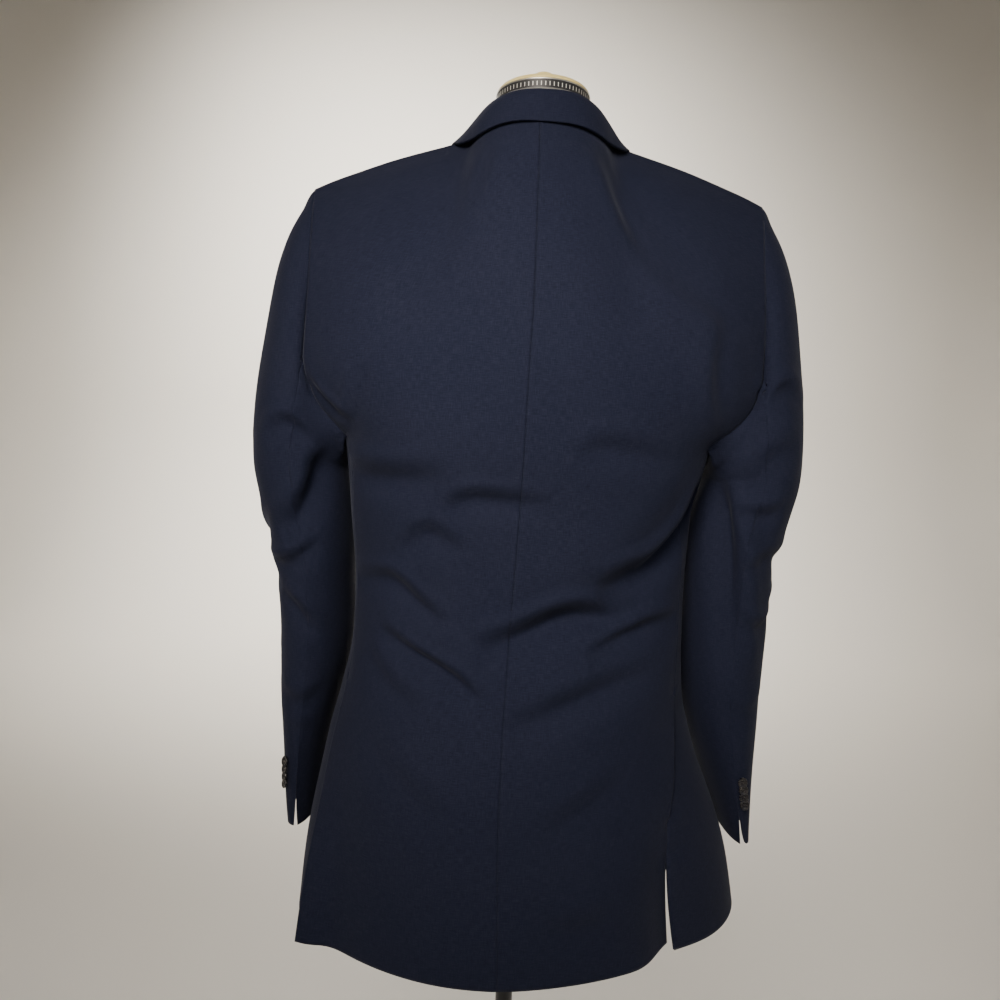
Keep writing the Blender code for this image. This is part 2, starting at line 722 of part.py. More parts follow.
def cloth_wall(name, outer, offsets, trims):
    """A closed wall of cloth through a grid of outer points."""
    trimmed_outer = trimmed(outer, trims)
    mesh = bmesh.new()
    rows, columns = len(outer), len(outer[0])
    outside = [[mesh.verts.new(p) for p in row] for row in trimmed_outer]
    inside = [
        [mesh.verts.new(p + d) for p, d in zip(row, line)] for row, line in zip(trimmed_outer, offsets)
    ]
    for r in range(rows - 1):
        for c in range(columns - 1):
            mesh.faces.new((outside[r][c], outside[r][c + 1], outside[r + 1][c + 1], outside[r + 1][c]))
            mesh.faces.new((inside[r][c], inside[r + 1][c], inside[r + 1][c + 1], inside[r][c + 1]))
    border = [(0, c) for c in range(columns)] + [(r, columns - 1) for r in range(1, rows)]
    border += [(rows - 1, c) for c in range(columns - 2, -1, -1)] + [(r, 0) for r in range(rows - 2, 0, -1)]
    for (r0, c0), (r1, c1) in zip(border, border[1:] + border[:1]):
        mesh.faces.new((outside[r0][c0], outside[r1][c1], inside[r1][c1], inside[r0][c0]))
    return finish(name, mesh, NAVY, 0.85)


HALF_GAP = SEAM_GAP / 2


def below_vent(height):
    return 0.0 if height < VENT_TOP - 0.001 else HALF_GAP


def arm_trim(height):
    """The sleeve seam's gap, a little wider where the cloth turns in at the armhole."""
    return HALF_GAP + ARMHOLE_EASE * smooth((height - 1.13) / 0.03)


def slit_trim(height):
    """The hind sleeve seam's gap, which opens into a small slit at the cuff."""
    return arm_trim(height) + CUFF_SLIT_OPEN * smooth((CUFF + CUFF_SLIT - height) / CUFF_SLIT)


def build_body():
    """The six panels of the body and the four of the sleeves."""
    grids, sleeves = {}, {}
    body_normals = {}
    for side in NAMES:
        grids[side] = (back_grid(side), side_grid(side), front_grid(side))
        for grid in grids[side]:
            add_normals(body_normals, grid, body_centre)
    for side, name in NAMES.items():
        back, across, front = grids[side]
        sleeve = sleeve_grid(side, back, across, front)
        sleeves[side] = sleeve
        sleeve_normals = {}
        add_normals(sleeve_normals, sleeve, arm_centre(side), closed=True)
        mitres = armhole_mitres(sleeve[0], sleeve[1], body_normals, sleeve_normals)
        cloth_wall(
            f"back_{name}", back, wall_offsets(back, body_normals, mitres),
            {"start": HALF_GAP, "top": HALF_GAP, "end": below_vent},
        )
        cloth_wall(
            f"side_{name}", across, wall_offsets(across, body_normals, mitres),
            {"start": below_vent, "end": HALF_GAP, "top": HALF_GAP},
        )
        cloth_wall(
            f"front_{name}", front, wall_offsets(front, body_normals, mitres),
            {"start": HALF_GAP, "top": HALF_GAP},
        )
        offsets = wall_offsets(sleeve, sleeve_normals, mitres)
        around = len(sleeve[0])
        top = [c % around for c in range(FORE_SEAM, around + HIND_SEAM + 1)]
        below = list(range(HIND_SEAM, FORE_SEAM + 1))
        for piece, columns, hind_edge in (("top", top, "end"), ("under", below, "start")):
            trims = {"bottom": HALF_GAP, "start": arm_trim, "end": arm_trim}
            trims[hind_edge] = slit_trim
            cloth_wall(
                f"{piece}_sleeve_{name}", [[row[c] for c in columns] for row in sleeve],
                [[line[c] for c in columns] for line in offsets], trims,
            )
    return grids, sleeves


def surface_tree(grids):
    """The outer side of some panels, to lay other pieces on."""
    points, faces = [], []
    for grid in grids:
        first = len(points)
        columns = len(grid[0])
        points += [point for row in grid for point in row]
        for r in range(len(grid) - 1):
            for c in range(columns - 1):
                a = first + r * columns + c
                faces.append((a, a + 1, a + columns + 1))
                faces.append((a, a + columns + 1, a + columns))
    return BVHTree.FromPolygons(points, faces)


def laid_on(tree, point, lift):
    """The nearest place of a surface, moved out from it."""
    place, normal, _, _ = tree.find_nearest(point)
    if normal.dot(place - body_centre(place)) < 0:
        normal = -normal
    return place + normal * lift


def front_at(tree, x, z, lift):
    """The place of the jacket's front seen at x and z, moved out from it."""
    place, normal, _, _ = tree.ray_cast(Vector((x, -1.0, z)), Vector((0, 1, 0)))
    if place is None:
        return laid_on(tree, Vector((x, -0.12, z)), lift)
    if normal.y > 0:
        normal = -normal
    return place + normal * lift


def roll_path(front):
    """The front's free edge from the break up to the side of the neck."""
    first = LOWER_ROWS.index(BREAK)
    return Path([row[-1] for row in front[first:]])


def gorge_points(side, tree, roll):
    """Where collar and lapel meet: at the roll line and at the notch, and the two tips."""
    inner = roll.share(1 - GORGE)
    notch = front_at(tree, side * (abs(inner.x) + GORGE_RUN), inner.z - GORGE_DROP, 0)
    return inner, notch


def lapel_trim(height):
    """The gap between lapel and collar, wider at the roll line where the collar folds over."""
    return COLLAR_GAP / 2 + 0.0016 * smooth((height - 1.345) / 0.014)


def build_lapel(side, name, front, tree):
    roll = roll_path(front)
    inner_top, notch = gorge_points(side, tree, roll)
    start = roll.share(0)
    tip = Vector((side * LAPEL_TIP_X, 0, LAPEL_TIP_Z))
    belly = Vector((side * LAPEL_BELLY_X, 0, LAPEL_BELLY_Z))
    outer = []
    for r in range(LAPEL_ROWS + 1):
        s = 0.04 + 0.96 * r / LAPEL_ROWS
        inside = roll.share(s * (1 - GORGE))
        outside = start * (1 - s) ** 2 + belly * 2 * s * (1 - s) + tip * s * s
        bent = s ** 8
        row = []
        for c in range(LAPEL_COLUMNS + 1):
            u = c / LAPEL_COLUMNS
            x, z = inside.x + (outside.x - inside.x) * u, inside.z + (outside.z - inside.z) * u
            if u <= 0.5:
                seam = inner_top.lerp(notch, u * 2)
            else:
                seam = notch.lerp(tip, u * 2 - 1)
            x, z = x + (seam.x - x) * bent, z + (seam.z - z) * bent
            lift = WALL + LAID_GAP + LAPEL_ROLL * min(1, 4 * s) * math.sin(math.pi * (0.12 + 0.7 * u))
            if c == 0:
                row.append(laid_on(tree, inside, lift))
            else:
                row.append(front_at(tree, x, z, lift))
        outer.append(row)
    normals = {}
    add_normals(normals, outer, body_centre)
    cloth_wall(f"lapel_{name}", outer, wall_offsets(outer, normals, {}), {"top": lapel_trim})


def kept_off(tree, point, lift):
    """The point itself, or where it is moved out to so that it clears a surface."""
    place, normal, _, _ = tree.find_nearest(point)
    if normal.dot(place - body_centre(place)) < 0:
        normal = -normal
    if (point - place).dot(normal) < lift:
        return place + normal * lift
    return point


def read_halves(path, split, u):
    """A place of a path whose split is reached at u = 1 and its end at u = 2."""
    if u <= 1:
        return path.at(split * u)
    return path.at(split + (path.length - split) * (u - 1))


def collar_stations(side, grids, tree):
    """Sections of the collar from the middle of the back to the gorge, as points of its middle line."""
    back, _, front = grids[side]
    roll = roll_path(front)
    inner, notch = gorge_points(side, tree, roll)
    seam = curve_through(back[-1][:NECK_COLUMNS + 1])
    base = Path(seam.points + [roll.share(1 - GORGE * k / 12) for k in range(1, 13)])
    edge = curve_through(mirrored(COLLAR_EDGE, side))
    edge_split = edge.lengths[12 * COLLAR_RIDGE]
    end = inner + Vector((-side * 0.0035, -0.0015, 0.0015))
    fold = curve_through(mirrored(COLLAR_FOLD, side) + [end])
    fold_split = fold.lengths[12 * COLLAR_RIDGE]
    laid = LAID_GAP + WALL / 2
    sections = []
    for k in range(2 * COLLAR_STATIONS + 1):
        u = k / COLLAR_STATIONS
        foot = read_halves(base, seam.length, u)
        ahead = read_halves(base, seam.length, min(u + 0.08, 2))
        along = (ahead - read_halves(base, seam.length, max(u - 0.08, 0))).normalized()
        crown = read_halves(fold, fold_split, u)
        lift = laid + COLLAR_LIFT * min(1, 4 * u) + COLLAR_RIDGE_LIFT * (1 - smooth(abs(u - 1) / 0.35))
        outer = laid_on(tree, read_halves(edge, edge_split, u), lift)
        rise = crown - foot
        rise = (rise - along * rise.dot(along)).normalized()
        out = outer - foot
        out = (out - along * out.dot(along) - rise * out.dot(rise)).normalized()
        foot = foot + rise * COLLAR_GAP - out * WALL / 2
        height = (crown - foot).dot(rise)
        bend = min(COLLAR_FOLD_RADIUS, 0.45 * height)
        near = crown - (rise + out) * bend
        far = crown + (out - rise) * bend
        hang = far + (out * 0.5 - rise) * (outer - far).length * 0.4
        section = [foot, foot.lerp(near, 0.5), near, crown, far]
        for part in (0.33, 0.67):
            point = far * (1 - part) ** 2 + hang * 2 * part * (1 - part) + outer * part * part
            section.append(kept_off(tree, point, lift))
        section.append(outer)
        if k == 2 * COLLAR_STATIONS:
            section[-3] = laid_on(tree, inner.lerp(notch, 0.62), lift)
            section[-2] = laid_on(tree, notch, lift)
        sections.append(section)
    return sections


def build_collar(grids, trees):
    left = collar_stations(1, grids, trees[1])
    right = collar_stations(-1, grids, trees[-1])
    middle = list(reversed(right))[:-1] + left
    outer, offsets = [], []
    for r, row in enumerate(middle):
        before, after = middle[max(r - 1, 0)], middle[min(r + 1, len(middle) - 1)]
        line, inside = [], []
        for c, point in enumerate(row):
            along = after[c] - before[c]
            across = row[min(c + 1, len(row) - 1)] - row[max(c - 1, 0)]
            normal = along.cross(across).normalized()
            line.append(point + normal * WALL / 2)
            inside.append(-normal * WALL)
        outer.append(line)
        offsets.append(inside)
    cloth_wall("collar", outer, offsets, {"bottom": COLLAR_GAP / 2, "top": COLLAR_GAP / 2})
    return surface_tree([middle])


def button(name, place, outward, up, diameter, thick, tilt):
    """A round button with a softened rim, its face along outward, leaning by tilt."""
    mesh = bmesh.new()
    bmesh.ops.create_cone(
        mesh, cap_ends=True, segments=BUTTON_SIDES, radius1=diameter / 2, radius2=diameter / 2,
        depth=thick,
    )
    rim = [e for e in mesh.edges if abs(e.verts[0].co.z - e.verts[1].co.z) < thick / 10]
    bmesh.ops.bevel(
        mesh, geom=rim, offset=thick * 0.25, offset_type="OFFSET", affect="EDGES", segments=1,
        profile=0.5, material=-1,
    )
    side = up.cross(outward).normalized()
    up = outward.cross(side).normalized()
    turn = Matrix((side, up, outward)).transposed().to_4x4()
    lean = Matrix.Rotation(tilt, 4, "X")
    bmesh.ops.transform(mesh, matrix=Matrix.Translation(place) @ turn @ lean, verts=mesh.verts)
    return finish(name, mesh, BUTTON_BLACK, 0.25)


def build_buttons(front_tree, sleeve_trees):
    for number, z in enumerate(FRONT_BUTTON_HEIGHTS, 1):
        place = front_at(front_tree, 0.0, z, 0)
        outward = (front_at(front_tree, 0.0, z, 1) - place).normalized()
        place += outward * (BUTTON_GAP + FRONT_BUTTON_THICK / 2)
        button(
            f"front_button_{number}", place, outward, Vector((0, 0, 1)), FRONT_BUTTON,
            FRONT_BUTTON_THICK, 0,
        )
    raised = CUFF_BUTTON / 2 * math.sin(CUFF_BUTTON_TILT)
    for side, name in NAMES.items():
        for number in range(CUFF_BUTTONS):
            z = CUFF_BUTTON_TOP - number * CUFF_BUTTON_PITCH
            share = CUFF_BUTTON_PLACE[side]
            section, centre = section_round(side, z)
            below = section_round(side, z - 0.01)[0]
            place, outward, _, _ = sleeve_trees[side].find_nearest(section.share(share))
            down = sleeve_trees[side].find_nearest(below.share(share))[0] - place
            if outward.dot(place - centre) < 0:
                outward = -outward
            place += outward * (BUTTON_GAP + raised + CUFF_BUTTON_THICK / 2)
            button(
                f"cuff_button_{name}_{number + 1}", place, outward, -down, CUFF_BUTTON,
                CUFF_BUTTON_THICK, -CUFF_BUTTON_TILT,
            )


def inside_cloth(point, trees, collar_tree):
    """Moves a point of the form towards its axis until it is clear of the jacket."""
    axis = Vector((0, FORM_CENTRE, point.z))
    ray = point - axis
    reach = ray.length
    ray.normalize()
    steps = 160
    for k in range(20, steps + 1):
        trial = axis + ray * reach * k / steps
        body = min(tree.find_nearest(trial)[3] for tree in trees)
        collar = collar_tree.find_nearest(trial)[3]
        gap = FORM_GAP + 0.006 * smooth((abs(trial.y) - 0.012) / 0.02)
        if body < WALL + gap or collar < WALL / 2 + 2 * FORM_GAP:
            return axis + ray * reach * (k - 1) / steps
    return point


def build_form(trees, collar_tree):
    """The limbless torso, a smooth closed solid of rounded sections."""
    mesh = bmesh.new()
    rings = []
    for height in FORM.keys:
        wide, power = FORM.read("wide", height), FORM.read("round", height)
        back, front = FORM.read("back", height), FORM.read("front", height)
        ring = []
        for k in range(FORM_COLUMNS):
            angle = 2 * math.pi * k / FORM_COLUMNS
            across, along = superellipse(angle, power)
            depth = back if math.cos(angle) > 0 else front
            x = math.copysign(across, math.sin(angle)) * wide
            point = Vector((x, FORM_CENTRE + (depth - FORM_CENTRE) * along, height))
            ring.append(mesh.verts.new(inside_cloth(point, trees, collar_tree)))
        rings.append(ring)
    for low, high in zip(rings, rings[1:]):
        for k in range(FORM_COLUMNS):
            n = (k + 1) % FORM_COLUMNS
            mesh.faces.new((low[k], low[n], high[n], high[k]))
    mesh.faces.new(rings[0])
    mesh.faces.new(rings[-1])
    finish("form_torso", mesh, (0.13, 0.13, 0.14), 0.9)


def turned(name, profile, colour, roughness, metallic=0.0):
    """A solid turned about the form's axis from a profile that runs down its outer side."""
    mesh = bmesh.new()
    line = [mesh.verts.new((radius, 0, height)) for radius, height in profile]
    for a, b in zip(line, line[1:]):
        mesh.edges.new((a, b))
    made = finish(name, mesh, colour, roughness, metallic)
    screw = made.modifiers.new("turn", "SCREW")
    screw.axis = "Z"
    screw.angle = 2 * math.pi
    screw.steps = TURN_STEPS
    screw.render_steps = TURN_STEPS
    screw.use_merge_vertices = True
    screw.merge_threshold = 0.00001
    return made


def build_stand():
    """The pole and base under the torso, and the ring, cap and knob on its neck."""
    torso_foot = FORM.keys[0]
    socket_top = BASE_THICK + SOCKET_HEIGHT
    turned("base", (
        (0, BASE_THICK + 0.006), (SOCKET_RADIUS + 0.004, BASE_THICK + 0.006),
        (SOCKET_RADIUS + 0.012, BASE_THICK + 0.002), (BASE_RADIUS - 0.006, BASE_THICK - 0.003),
        (BASE_RADIUS, BASE_THICK - 0.008), (BASE_RADIUS, 0.002), (BASE_RADIUS - 0.002, 0), (0, 0),
    ), STAND_BLACK, 0.45, 0.6)
    turned("pole_socket", (
        (0, socket_top), (SOCKET_RADIUS - 0.004, socket_top), (SOCKET_RADIUS, socket_top - 0.004),
        (SOCKET_RADIUS, BASE_THICK + 0.006 + SEAM_GAP), (0, BASE_THICK + 0.006 + SEAM_GAP),
    ), STAND_BLACK, 0.5)
    turned("pole", (
        (0, torso_foot - SEAM_GAP), (POLE_RADIUS, torso_foot - SEAM_GAP),
        (POLE_RADIUS, socket_top + SEAM_GAP), (0, socket_top + SEAM_GAP),
    ), STAND_BLACK, 0.35, 0.8)
    level = NECK_TOP + SEAM_GAP
    turned("neck_ring", (
        (0, level + RING_HEIGHT), (NECK_RADIUS - 0.001, level + RING_HEIGHT),
        (NECK_RADIUS + 0.001, level + RING_HEIGHT - 0.002), (NECK_RADIUS + 0.001, level + 0.0015),
        (NECK_RADIUS, level), (0, level),
    ), (0.55, 0.55, 0.52), 0.35, 0.3)
    level += RING_HEIGHT + SEAM_GAP
    turned("neck_cap", (
        (0, level + CAP_HEIGHT), (0.018, level + CAP_HEIGHT - 0.001),
        (0.034, level + CAP_HEIGHT - 0.0045), (NECK_RADIUS - 0.003, level + 0.0045),
        (NECK_RADIUS - 0.0005, level + 0.002), (NECK_RADIUS - 0.0005, level), (0, level),
    ), (0.78, 0.70, 0.46), 0.5)
    level += CAP_HEIGHT + SEAM_GAP
    turned("neck_knob", (
        (0, level + KNOB_HEIGHT), (KNOB_RADIUS - 0.003, level + KNOB_HEIGHT),
        (KNOB_RADIUS, level + KNOB_HEIGHT - 0.003), (KNOB_RADIUS, level), (0, level),
    ), (0.78, 0.70, 0.46), 0.5)


def main():
    for old in list(bpy.data.objects):
        bpy.data.objects.remove(old)
    collection = bpy.data.collections.new("blazer_on_form")
    bpy.context.scene.collection.children.link(collection)
    grids, sleeves = build_body()
    trees = {side: surface_tree(grids[side]) for side in NAMES}
    fronts = {side: surface_tree([grids[side][2]]) for side in NAMES}
    for side, name in NAMES.items():
        build_lapel(side, name, grids[side][2], fronts[side])
    collar_tree = build_collar(grids, trees)
    build_buttons(fronts[1], {side: surface_tree([sleeves[side]]) for side in NAMES})
    build_form(list(trees.values()), collar_tree)
    build_stand()


main()
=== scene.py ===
# %% [markdown]
# # A navy blazer on a dress form
#
# This lesson dresses a plain model of a tailored jacket. The model has every panel as a stiff wall,
# in its real place and at its real size. Here each panel gets a fine surface, the creases of cloth
# that has hung for a while, and a woven finish. We start by loading the model.

# %% Load the model
import math

import bmesh
import bpy
import numpy as np
from mathutils import Matrix, Vector
from mathutils.bvhtree import BVHTree
from mathutils.kdtree import KDTree


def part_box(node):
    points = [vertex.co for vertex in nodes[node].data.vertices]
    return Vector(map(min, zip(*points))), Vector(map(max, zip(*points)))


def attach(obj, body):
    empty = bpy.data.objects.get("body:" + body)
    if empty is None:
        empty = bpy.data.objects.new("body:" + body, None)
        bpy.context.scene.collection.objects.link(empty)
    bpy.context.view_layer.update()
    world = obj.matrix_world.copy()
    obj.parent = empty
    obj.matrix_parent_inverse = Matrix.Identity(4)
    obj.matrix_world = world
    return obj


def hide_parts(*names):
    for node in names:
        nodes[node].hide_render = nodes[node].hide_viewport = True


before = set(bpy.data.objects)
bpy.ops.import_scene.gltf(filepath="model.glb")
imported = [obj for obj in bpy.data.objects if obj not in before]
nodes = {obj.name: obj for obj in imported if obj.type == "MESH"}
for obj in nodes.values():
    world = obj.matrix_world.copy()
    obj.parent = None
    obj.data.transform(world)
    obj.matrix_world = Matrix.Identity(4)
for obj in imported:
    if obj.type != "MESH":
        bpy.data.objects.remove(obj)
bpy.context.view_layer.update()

# %% [markdown]
# ## The camera
#
# The jacket is seen from behind, from a little left of the pole and from chest height, close enough
# that the hem is seen from above. A wide lens at 0.8 m gives that strong perspective. The camera
# looks 5.8 degrees down and leans by 2.3 degrees.

# %% Place the camera
SENSOR = 36.0               # mm
LENS = 27.04                # mm
TILT = math.radians(90 - 5.8)
LEAN = math.radians(2.31)
CAMERA_PLACE = (0.027, 0.795, 1.1495)
camera = bpy.data.objects.new("camera", bpy.data.cameras.new("camera"))
camera.data.sensor_width = SENSOR
camera.data.lens = LENS
camera.data.clip_start = 0.01
turn = Matrix.Rotation(math.pi, 4, "Z") @ Matrix.Rotation(TILT, 4, "X")
lean = Matrix.Rotation(LEAN, 4, "Z")
camera.matrix_world = Matrix.Translation(CAMERA_PLACE) @ turn @ lean
bpy.context.scene.collection.objects.link(camera)
bpy.context.scene.camera = camera
print("camera at", tuple(round(v, 3) for v in camera.location))

# %% [markdown]
# ## Shader maths
#
# A material is a net of small nodes. Wrapping a socket in a class lets us write that net as
# ordinary sums: `threads * 0.3 + slubs` adds the Math nodes for us. Anything that isn't plain
# arithmetic comes from `Finish.node`, which takes a node's type, its settings and what its sockets
# get.

# %% Wrap a shader socket
class Value:
    """A socket that can be used in a sum."""

    def __init__(self, finish, socket):
        self.finish = finish
        self.socket = socket

    def math(self, operation, first, second):
        return self.finish.node("ShaderNodeMath", {"operation": operation}, {0: first, 1: second})

    def __add__(self, other):
        return self.math("ADD", self, other)

    def __sub__(self, other):
        return self.math("SUBTRACT", self, other)

    def __rsub__(self, other):
        return self.math("SUBTRACT", other, self)

    def __mul__(self, other):
        return self.math("MULTIPLY", self, other)

    __radd__ = __add__

    def between(self, low, high):
        """0 up to low, 1 from high on, and a soft step in between."""
        return self.finish.node(
            "ShaderNodeMapRange", {"interpolation_type": "SMOOTHSTEP"},
            {"Value": self, "From Min": low, "From Max": high},
        )


class Finish:
    """A material whose nodes are added one expression at a time."""

    def __init__(self, name, **sockets):
        self.material = bpy.data.materials.new(name)
        self.material.use_nodes = True
        self.tree = self.material.node_tree
        self.shader = self.tree.nodes["Principled BSDF"]
        for socket, value in sockets.items():
            self.shader.inputs[socket.replace("_", " ")].default_value = value
        print("finish:", name)

    def node(self, kind, settings=None, sockets=None, output=0):
        made = self.tree.nodes.new(kind)
        for name, value in (settings or {}).items():
            setattr(made, name, value)
        for key, value in (sockets or {}).items():
            self.feed(made.inputs[key], value)
        return Value(self, made.outputs[output])

    def feed(self, socket, value):
        if isinstance(value, Value):
            self.tree.links.new(value.socket, socket)
        else:
            socket.default_value = value

    def set(self, name, value):
        self.feed(self.shader.inputs[name], value)

    def place(self, stretch=(1, 1, 1), source="Object"):
        """Object coordinates, or the cloth's own, each axis multiplied."""
        if source == "Object":
            start = self.node("ShaderNodeTexCoord", output="Object")
        else:
            start = self.node("ShaderNodeUVMap", {"uv_map": source})
        return self.node("ShaderNodeMapping", sockets={"Vector": start, "Scale": stretch})

    def axes(self):
        """The object coordinates, one by one."""
        made = self.tree.nodes.new("ShaderNodeSeparateXYZ")
        self.feed(made.inputs[0], self.node("ShaderNodeTexCoord", output="Object"))
        return [Value(self, made.outputs[k]) for k in range(3)]

    def noise(self, vector, scale, detail=2.0, rough=0.5):
        return self.node("ShaderNodeTexNoise", sockets={
            "Vector": vector, "Scale": scale, "Detail": detail, "Roughness": rough,
        })

    def mix(self, factor, first, second):
        """A colour between two colours."""
        made = self.tree.nodes.new("ShaderNodeMix")
        made.data_type = "RGBA"
        self.feed(made.inputs[0], factor)
        self.feed(made.inputs[6], first)
        self.feed(made.inputs[7], second)
        return Value(self, made.outputs[2])

    def bump(self, height, distance, strength):
        self.set("Normal", self.node("ShaderNodeBump", sockets={
            "Height": height, "Distance": distance, "Strength": strength,
        }))


# %% [markdown]
# ## The cloth's finish
#
# The jacket is a dry, linen-like suiting: almost black navy, matt, with threads that swell and thin
# out, so that short pale and dark streaks run both across and down. Two stretched noises make those
# streaks, one for each thread direction, and a fine weave lies under them. A little sheen brightens
# the cloth where it turns away, as loose fibres do.

# %% Mix the cloth
NAVY = (0.0074, 0.0100, 0.0255, 1.0)
NAVY_DARK = (0.0034, 0.0048, 0.0138, 1.0)
NAVY_PALE = (0.0182, 0.0208, 0.0410, 1.0)
SEAM_REACH = 0.020          # how far from a seam its distance is kept


def suiting(name):
    cloth = Finish(
        name, Roughness=0.88, Sheen_Weight=0.05, Sheen_Roughness=0.40, Specular_IOR_Level=0.16,
    )
    cloth.shader.inputs["Sheen Tint"].default_value = (0.62, 0.68, 0.90, 1.0)
    across = cloth.noise(cloth.place((140, 1500, 1), "threads"), 1.0, 2.0, 0.6)
    down = cloth.noise(cloth.place((1500, 120, 1), "threads"), 1.0, 2.0, 0.6)
    cloudy = cloth.noise(cloth.place(), 9.0, 3.0)
    streaks = across * 0.55 + down * 0.45
    pale = streaks.between(0.46, 0.66) * 0.65 + cloudy.between(0.35, 0.75) * 0.12
    colour = cloth.mix(pale, NAVY, NAVY_PALE)
    dark = (1 - streaks.between(0.34, 0.50)) * 0.6
    cloth.set("Base Color", cloth.mix(dark, colour, NAVY_DARK))
    weave, weft = (
        cloth.node("ShaderNodeTexWave", {"wave_type": "BANDS", "bands_direction": axis}, {
            "Vector": cloth.place((1, 1, 1), "threads"), "Scale": 420.0, "Distortion": 0.4,
        }, output=1)
        for axis in "XY"
    )
    seam = cloth.node("ShaderNodeAttribute", {"attribute_name": "seam"}, output=2)
    pucker = cloth.noise(cloth.place((90, 90, 90)), 1.0, 1.0) * (1 - seam.between(0.004, 0.014))
    cloth.set("Roughness", 0.82 + streaks * 0.12)
    height = streaks * 0.30 + weave * weft * 0.10 + seam.between(0.0, 0.0030) * 0.55 + pucker * 0.8
    cloth.bump(height, 0.0006, 0.8)
    return cloth.material


NAVY_SUITING = suiting("navy_suiting")

# %% [markdown]
# ## From a stiff wall to fine cloth
#
# A panel of the model is a grid of flat faces with a rim all round. We copy it, merge its points
# and join its triangles to four-sided faces. Subdivision then rounds it, while the rim's edges are
# marked as sharp so that the cut edge of the cloth stays crisp and the seams still meet.

# %% Make a panel fine
RIM_ANGLE = math.radians(62)        # faces that meet more sharply are the cut edge
JOIN_ANGLE = math.radians(35)       # triangles flatter than this become one face
JOIN_SHAPE = math.radians(60)       # if its corners are no further than this from square
MERGE_WITHIN = 0.00002
ON_RIM = 0.999
BESIDE_RIM = 0.02


def fine_panel(name, levels):
    mesh = bmesh.new()
    mesh.from_mesh(nodes[name].data)
    bmesh.ops.remove_doubles(mesh, verts=mesh.verts[:], dist=MERGE_WITHIN)
    bmesh.ops.join_triangles(
        mesh, faces=mesh.faces[:], angle_face_threshold=JOIN_ANGLE,
        angle_shape_threshold=JOIN_SHAPE,
    )
    sharp = mesh.edges.layers.float.new("crease_edge")
    at_rim = mesh.verts.layers.float.new("rim")
    rim = [edge for edge in mesh.edges if edge.calc_face_angle(0) > RIM_ANGLE]
    for edge in rim:
        edge[sharp] = 1.0
        for vert in edge.verts:
            vert[at_rim] = 1.0
    coarse = bpy.data.meshes.new(name + "_coarse")
    mesh.to_mesh(coarse)
    mesh.free()
    piece = bpy.data.objects.new("cloth_" + name, coarse)
    bpy.context.scene.collection.objects.link(piece)
    rounding = piece.modifiers.new("rounding", "SUBSURF")
    rounding.levels = levels
    rounding.render_levels = levels
    graph = bpy.context.evaluated_depsgraph_get()
    fine = bpy.data.meshes.new_from_object(piece.evaluated_get(graph))
    piece.modifiers.remove(rounding)
    piece.data = fine
    print(piece.name, len(fine.vertices), "points, from", len(rim), "rim edges")
    return piece


def points_of(piece):
    flat = np.empty(len(piece.data.vertices) * 3)
    piece.data.vertices.foreach_get("co", flat)
    return flat.reshape(-1, 3)


def set_points(piece, points):
    piece.data.vertices.foreach_set("co", points.ravel())
    piece.data.update()


def rim_share(piece):
    """1 on the cut edge, falling to 0 over the first row of the model's faces."""
    share = np.empty(len(piece.data.vertices))
    piece.data.attributes["rim"].data.foreach_get("value", share)
    return share


LEVELS = {
    "back_left": 3, "back_right": 3, "side_left": 3, "side_right": 3,
    "front_left": 2, "front_right": 2, "top_sleeve_left": 3, "top_sleeve_right": 3,
    "under_sleeve_left": 3, "under_sleeve_right": 3,
}
panels = {name: fine_panel(name, level) for name, level in LEVELS.items()}


# %% [markdown]
# ## Close the seams
#
# On a real jacket two panels touch where they are sewn. The model leaves a gap there, a little
# wider where a sleeve meets the armhole. Each point of a cut edge looks for the nearest cut edge of
# another panel. If that is close, each moves half of the way, and the cloth beside the edge
# follows. A few passes bring the edges together. Hems and vents have no such neighbour, and the
# cuffs' slits are left out by their height, so all of them stay open. Every point keeps its
# distance to the nearest seam, because the finish uses it to draw the cloth in along the stitches.

# %% Close the seams
SEAM_FOUND = 0.0026         # how far apart two edges may start
SEAM_LEFT = 0.0             # how far apart they end
SEAM_PASSES = 4
SEWN_WITHIN = 0.0008        # edges that end closer than this count as sewn
SLIT_TOP = 0.745            # sleeve edges below this height are the cuff's open slit


def rim_tree(piece):
    """The cut edge's own faces, for looking up the nearest point on them."""
    on_rim = rim_share(piece) > ON_RIM
    faces = [
        tuple(face.vertices) for face in piece.data.polygons
        if all(on_rim[i] for i in face.vertices)
    ]
    return BVHTree.FromPolygons([tuple(p) for p in points_of(piece)], faces)


def point_tree(places, keys):
    """A tree for looking up the nearest of some places, which gives that place's key."""
    tree = KDTree(max(len(keys), 1))
    for place, key in zip(places, keys):
        tree.insert(place, key)
    tree.balance()
    return tree


def stays_open(name, place):
    return "sleeve" in name and place.z < SLIT_TOP


def is_sewn(place, trees):
    return any(tree.find_nearest(place, SEWN_WITHIN)[0] is not None for tree in trees)


